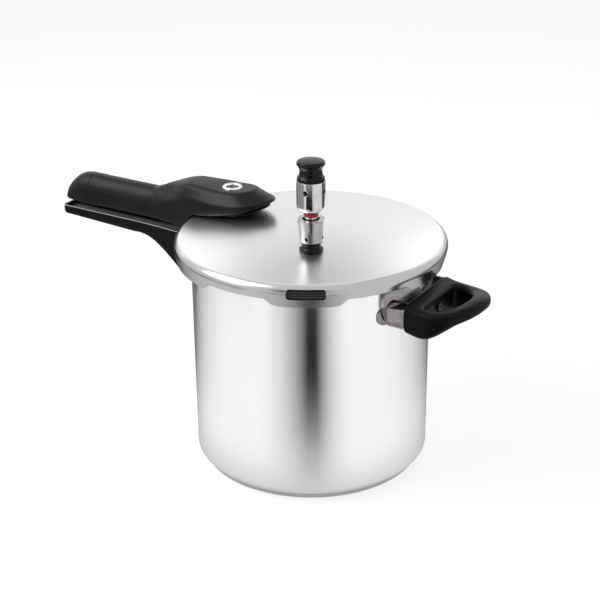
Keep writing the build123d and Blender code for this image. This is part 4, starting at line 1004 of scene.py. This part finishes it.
@dataclass
class Studio:
    """White studio: floor, a card of soft shades for the metal to reflect, lamps, world and camera."""

    camera_turn: float = math.radians(-58.0)
    camera_out: float = 1.21204
    camera_high: float = 0.68457
    camera_yaw: float = -0.008565
    camera_pitch: float = 0.413033
    camera_roll: float = -0.009539
    focal_pixels: float = 1402.05
    frame_pixels: float = 600.0
    sensor: float = 36.0
    floor_half: float = 12.0
    floor_tone: float = 0.30
    floor_roughness: float = 0.9
    floor_glow: float = 0.78
    floor_drop: float = 0.0008
    card_drop: float = 0.0003
    card_radii: tuple[float, float] = (0.09, 3.0)
    card_steps: int = 96
    fade_power: float = 2.0
    world_fill: float = 0.45
    dark_skies: Sequence[DarkSky] = (
        DarkSky("above", 0.60, 122.0, 58.0, 6.0, 32.0),
        DarkSky("behind_camera", 0.92, -66.0, 14.0, 10.0, 30.0),
    )
    aim: Vector = field(default_factory=lambda: Vector((0.0, 0.0, 0.15)))
    shades: Sequence[Shade] = (
        Shade("front", 0.995, -58.0, (-3.0, -46.0), (4.0, 34.0), (0.11, 0.40), (0.80, 0.90)),
        Shade("tower_middle", 0.97, -58.0, (-34.0, -42.0), (8.0, 14.0), (0.66, 0.70), (0.92, 0.96)),
        Shade("tower_left", 0.62, -138.0, (-30.0, -38.0), (24.0, 34.0), (0.62, 0.66), (1.10, 1.30)),
        Shade("tower_edge", 0.95, 150.0, (-20.0, -28.0), (22.0, 30.0), (0.45, 0.55), (1.20, 1.40)),
        Shade("tower_right", 0.85, 48.0, (-12.0, -18.0), (12.0, 18.0), (0.62, 0.66), (1.10, 1.30)),
        Shade("back", 0.80, 122.0, (-44.0, -130.0), (44.0, 112.0), (0.05, 0.10), (2.4, 2.9)),
        Shade("foot", 0.42, -58.0, (-181.0, -182.0), (181.0, 182.0), (0.05, 0.09), (0.11, 0.21)),
    )
    lamps: Sequence[Lamp] = (
        Lamp("key", 12.5, 0.95, -135.0, 42.0, 1.4),
        Lamp("top", 1.4, 1.00, 122.0, 74.0, 1.5),
        Lamp("right_wall", 2.0, 1.00, 86.0, 32.0, 1.6),
        Lamp("left_wall", 1.8, 1.00, 158.0, 30.0, 1.6),
    )

    def build(self) -> None:
        """Set up the whole studio."""
        bpy.context.scene.view_settings.view_transform = "Standard"
        self.light_world()
        self.lay_floor()
        self.lay_card()
        for lamp in self.lamps:
            self.hang_lamp(lamp)
            LOG.info("%s lamp hangs", lamp.name)
        self.place_camera()

    def seen_straight(self, graph: NodeGraph) -> Socket:
        """Mask of the rays that look at the background straight, in a mirror or through glass."""
        path = graph.add("LightPath").outputs
        mirror = graph.math("MAXIMUM", path["Is Glossy Ray"], path["Is Transmission Ray"])
        return graph.math("MAXIMUM", path["Is Camera Ray"], mirror)

    def light_world(self) -> None:
        """White world: full white where it is seen, softer where it lights."""
        world = bpy.data.worlds.new("studio")
        bpy.context.scene.world = world
        world.use_nodes = True
        graph = NodeGraph(world.node_tree)
        background = world.node_tree.nodes["Background"]
        background.inputs["Color"].default_value = (1.0, 1.0, 1.0, 1.0)
        seen = self.seen_straight(graph)
        mirrored = graph.math("SUBTRACT", seen, graph.add("LightPath").outputs["Is Camera Ray"])
        glow = graph.spread(seen, self.world_fill, 1.0)
        for patch in self.dark_skies:
            dark = graph.math("MULTIPLY", self.dark_share(graph, patch), mirrored)
            glow = graph.math("MULTIPLY", glow, graph.rest(dark))
            LOG.info("%s sky is darkened", patch.name)
        graph.feed(background.inputs["Strength"], glow)

    def dark_share(self, graph: NodeGraph, patch: DarkSky) -> Socket:
        """How much of the sky's light a dark patch takes away in each direction."""
        near = graph.add("VectorMath", operation="DOT_PRODUCT")
        graph.feed(near.inputs[0], graph.add("TexCoord").outputs["Generated"])
        graph.feed(near.inputs[1], direction(math.radians(patch.turn), math.radians(patch.rise)))
        start, end = math.cos(math.radians(patch.edge)), math.cos(math.radians(patch.core))
        return graph.spread(near.outputs["Value"], 0.0, patch.dark, start, end)

    def lay_floor(self) -> None:
        """Pale floor that stays white and keeps the pot's shadow."""
        half = self.floor_half
        corners = [(-half, -half), (half, -half), (half, half), (-half, half)]
        floor = self.sheet("floor", corners, -self.floor_drop)
        shader, graph = self.plain_material(floor)
        shader.inputs["Base Color"].default_value = opaque((self.floor_tone,) * 3)
        shader.inputs["Roughness"].default_value = self.floor_roughness
        graph.feed(shader.inputs["Emission Strength"],
                   graph.math("MULTIPLY", self.seen_straight(graph), self.floor_glow))

    def sheet(self, name: str, corners: Sequence[tuple[float, float]], height: float) -> bpy.types.Object:
        """Lay a flat sheet of the studio.

        Args:
            name: The sheet's name.
            corners: Its corners in plan.
            height: Its height.

        Returns:
            The sheet, marked as stage.
        """
        mesh = bpy.data.meshes.new(name)
        mesh.from_pydata([(x, y, height) for x, y in corners], [], [range(len(corners))])
        sheet = bpy.data.objects.new(name, mesh)
        bpy.context.scene.collection.objects.link(sheet)
        return sheet

    def plain_material(self, sheet: bpy.types.Object) -> tuple[bpy.types.Node, NodeGraph]:
        """Give a sheet a dull black material that can glow white.

        Args:
            sheet: The sheet to dress.

        Returns:
            The material's shader and its tree.
        """
        material = bpy.data.materials.new(sheet.name)
        material.use_nodes = True
        shader = material.node_tree.nodes["Principled BSDF"]
        shader.inputs["Base Color"].default_value = (0.0, 0.0, 0.0, 1.0)
        shader.inputs["Specular IOR Level"].default_value = 0.0
        shader.inputs["Emission Color"].default_value = (1.0, 1.0, 1.0, 1.0)
        sheet.data.materials.append(material)
        return shader, NodeGraph(material.node_tree)

    def lay_card(self) -> None:
        """Lay a ring-shaped card on the floor that only reflections see, with every soft shade on it."""
        inner, outer = self.card_radii
        turns = [2.0 * math.pi * step / self.card_steps for step in range(self.card_steps + 1)]
        rim = [(outer * math.cos(turn), outer * math.sin(turn)) for turn in turns]
        hole = [(inner * math.cos(turn), inner * math.sin(turn)) for turn in reversed(turns)]
        card = self.sheet("card", rim + hole, -self.card_drop)
        card.visible_camera = False
        card.visible_diffuse = False
        card.visible_shadow = False
        shader, graph = self.plain_material(card)
        x, y, _ = graph.coordinates()
        radius = graph.radius(x, y)
        turn = graph.math("ARCTAN2", y, x)
        glow: Feed = 1.0
        for shade in self.shades:
            glow = graph.math("MULTIPLY", glow, self.shaded(graph, shade, radius, turn))
            LOG.info("%s shade lies on the floor", shade.name)
        graph.feed(shader.inputs["Emission Strength"], glow)

    def shaded(self, graph: NodeGraph, shade: Shade, radius: Socket, turn: Socket) -> Socket:
        """How much light one soft shade leaves at a place on the floor.

        Args:
            graph: The card's tree.
            shade: The shade.
            radius: The place's distance from the pot's axis.
            turn: The place's angle about it.

        Returns:
            The socket that holds the share of light left.
        """
        aside = graph.math("SUBTRACT", turn, math.radians(shade.facing))
        aside = graph.math("WRAP", aside, math.pi, -math.pi)
        right = graph.ramp(aside, *(math.radians(angle) for angle in shade.right))
        left = graph.ramp(aside, *(math.radians(angle) for angle in shade.left))
        fades = (graph.math("MAXIMUM", right, left), graph.ramp(radius, *shade.near),
                 graph.ramp(radius, *shade.far))
        beside, before, beyond = (graph.math("POWER", graph.rest(fade), self.fade_power) for fade in fades)
        dark = graph.math("MULTIPLY", graph.math("MULTIPLY", beside, graph.rest(before)), beyond)
        return graph.rest(graph.math("MULTIPLY", dark, shade.dark))

    def hang_lamp(self, lamp: Lamp) -> None:
        """Hang a soft lamp and aim it at the pot."""
        data = bpy.data.lights.new(lamp.name, "AREA")
        data.energy = lamp.power
        data.size = lamp.side
        light = bpy.data.objects.new(lamp.name, data)
        place = self.aim + lamp.distance * direction(math.radians(lamp.turn), math.radians(lamp.rise))
        light.location = place
        light.rotation_euler = (self.aim - place).to_track_quat("-Z", "Y").to_euler()
        bpy.context.scene.collection.objects.link(light)

    def place_camera(self) -> None:
        """Stand the camera where the photograph was taken from."""
        data = bpy.data.cameras.new("camera")
        data.sensor_width = self.sensor
        data.lens = self.focal_pixels / self.frame_pixels * self.sensor
        heading = self.camera_turn + math.pi - self.camera_yaw
        forward = direction(heading, -self.camera_pitch)
        right = forward.cross(Vector((0.0, 0.0, 1.0))).normalized()
        up = right.cross(forward)
        tilted = right * math.cos(self.camera_roll) + up * math.sin(self.camera_roll)
        axes = Matrix((tilted, tilted.cross(forward), -forward)).transposed().to_4x4()
        place = Vector((self.camera_out * math.cos(self.camera_turn),
                        self.camera_out * math.sin(self.camera_turn), self.camera_high))
        camera = bpy.data.objects.new("camera", data)
        camera.matrix_world = Matrix.Translation(place) @ axes
        bpy.context.scene.collection.objects.link(camera)
        bpy.context.scene.camera = camera


def main() -> None:
    """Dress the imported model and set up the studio."""
    logging.basicConfig(level=logging.INFO, format="%(name)s: %(message)s")
    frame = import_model()
    for part in (Pot(), LoopHandle(), PotHandle(), Lid(), LidHandle(), VentTower()):
        part.dress(frame["nodes"])
        LOG.info("%s is dressed", type(part).__name__)
    Studio().build()


if __name__ == "__main__":
    main()
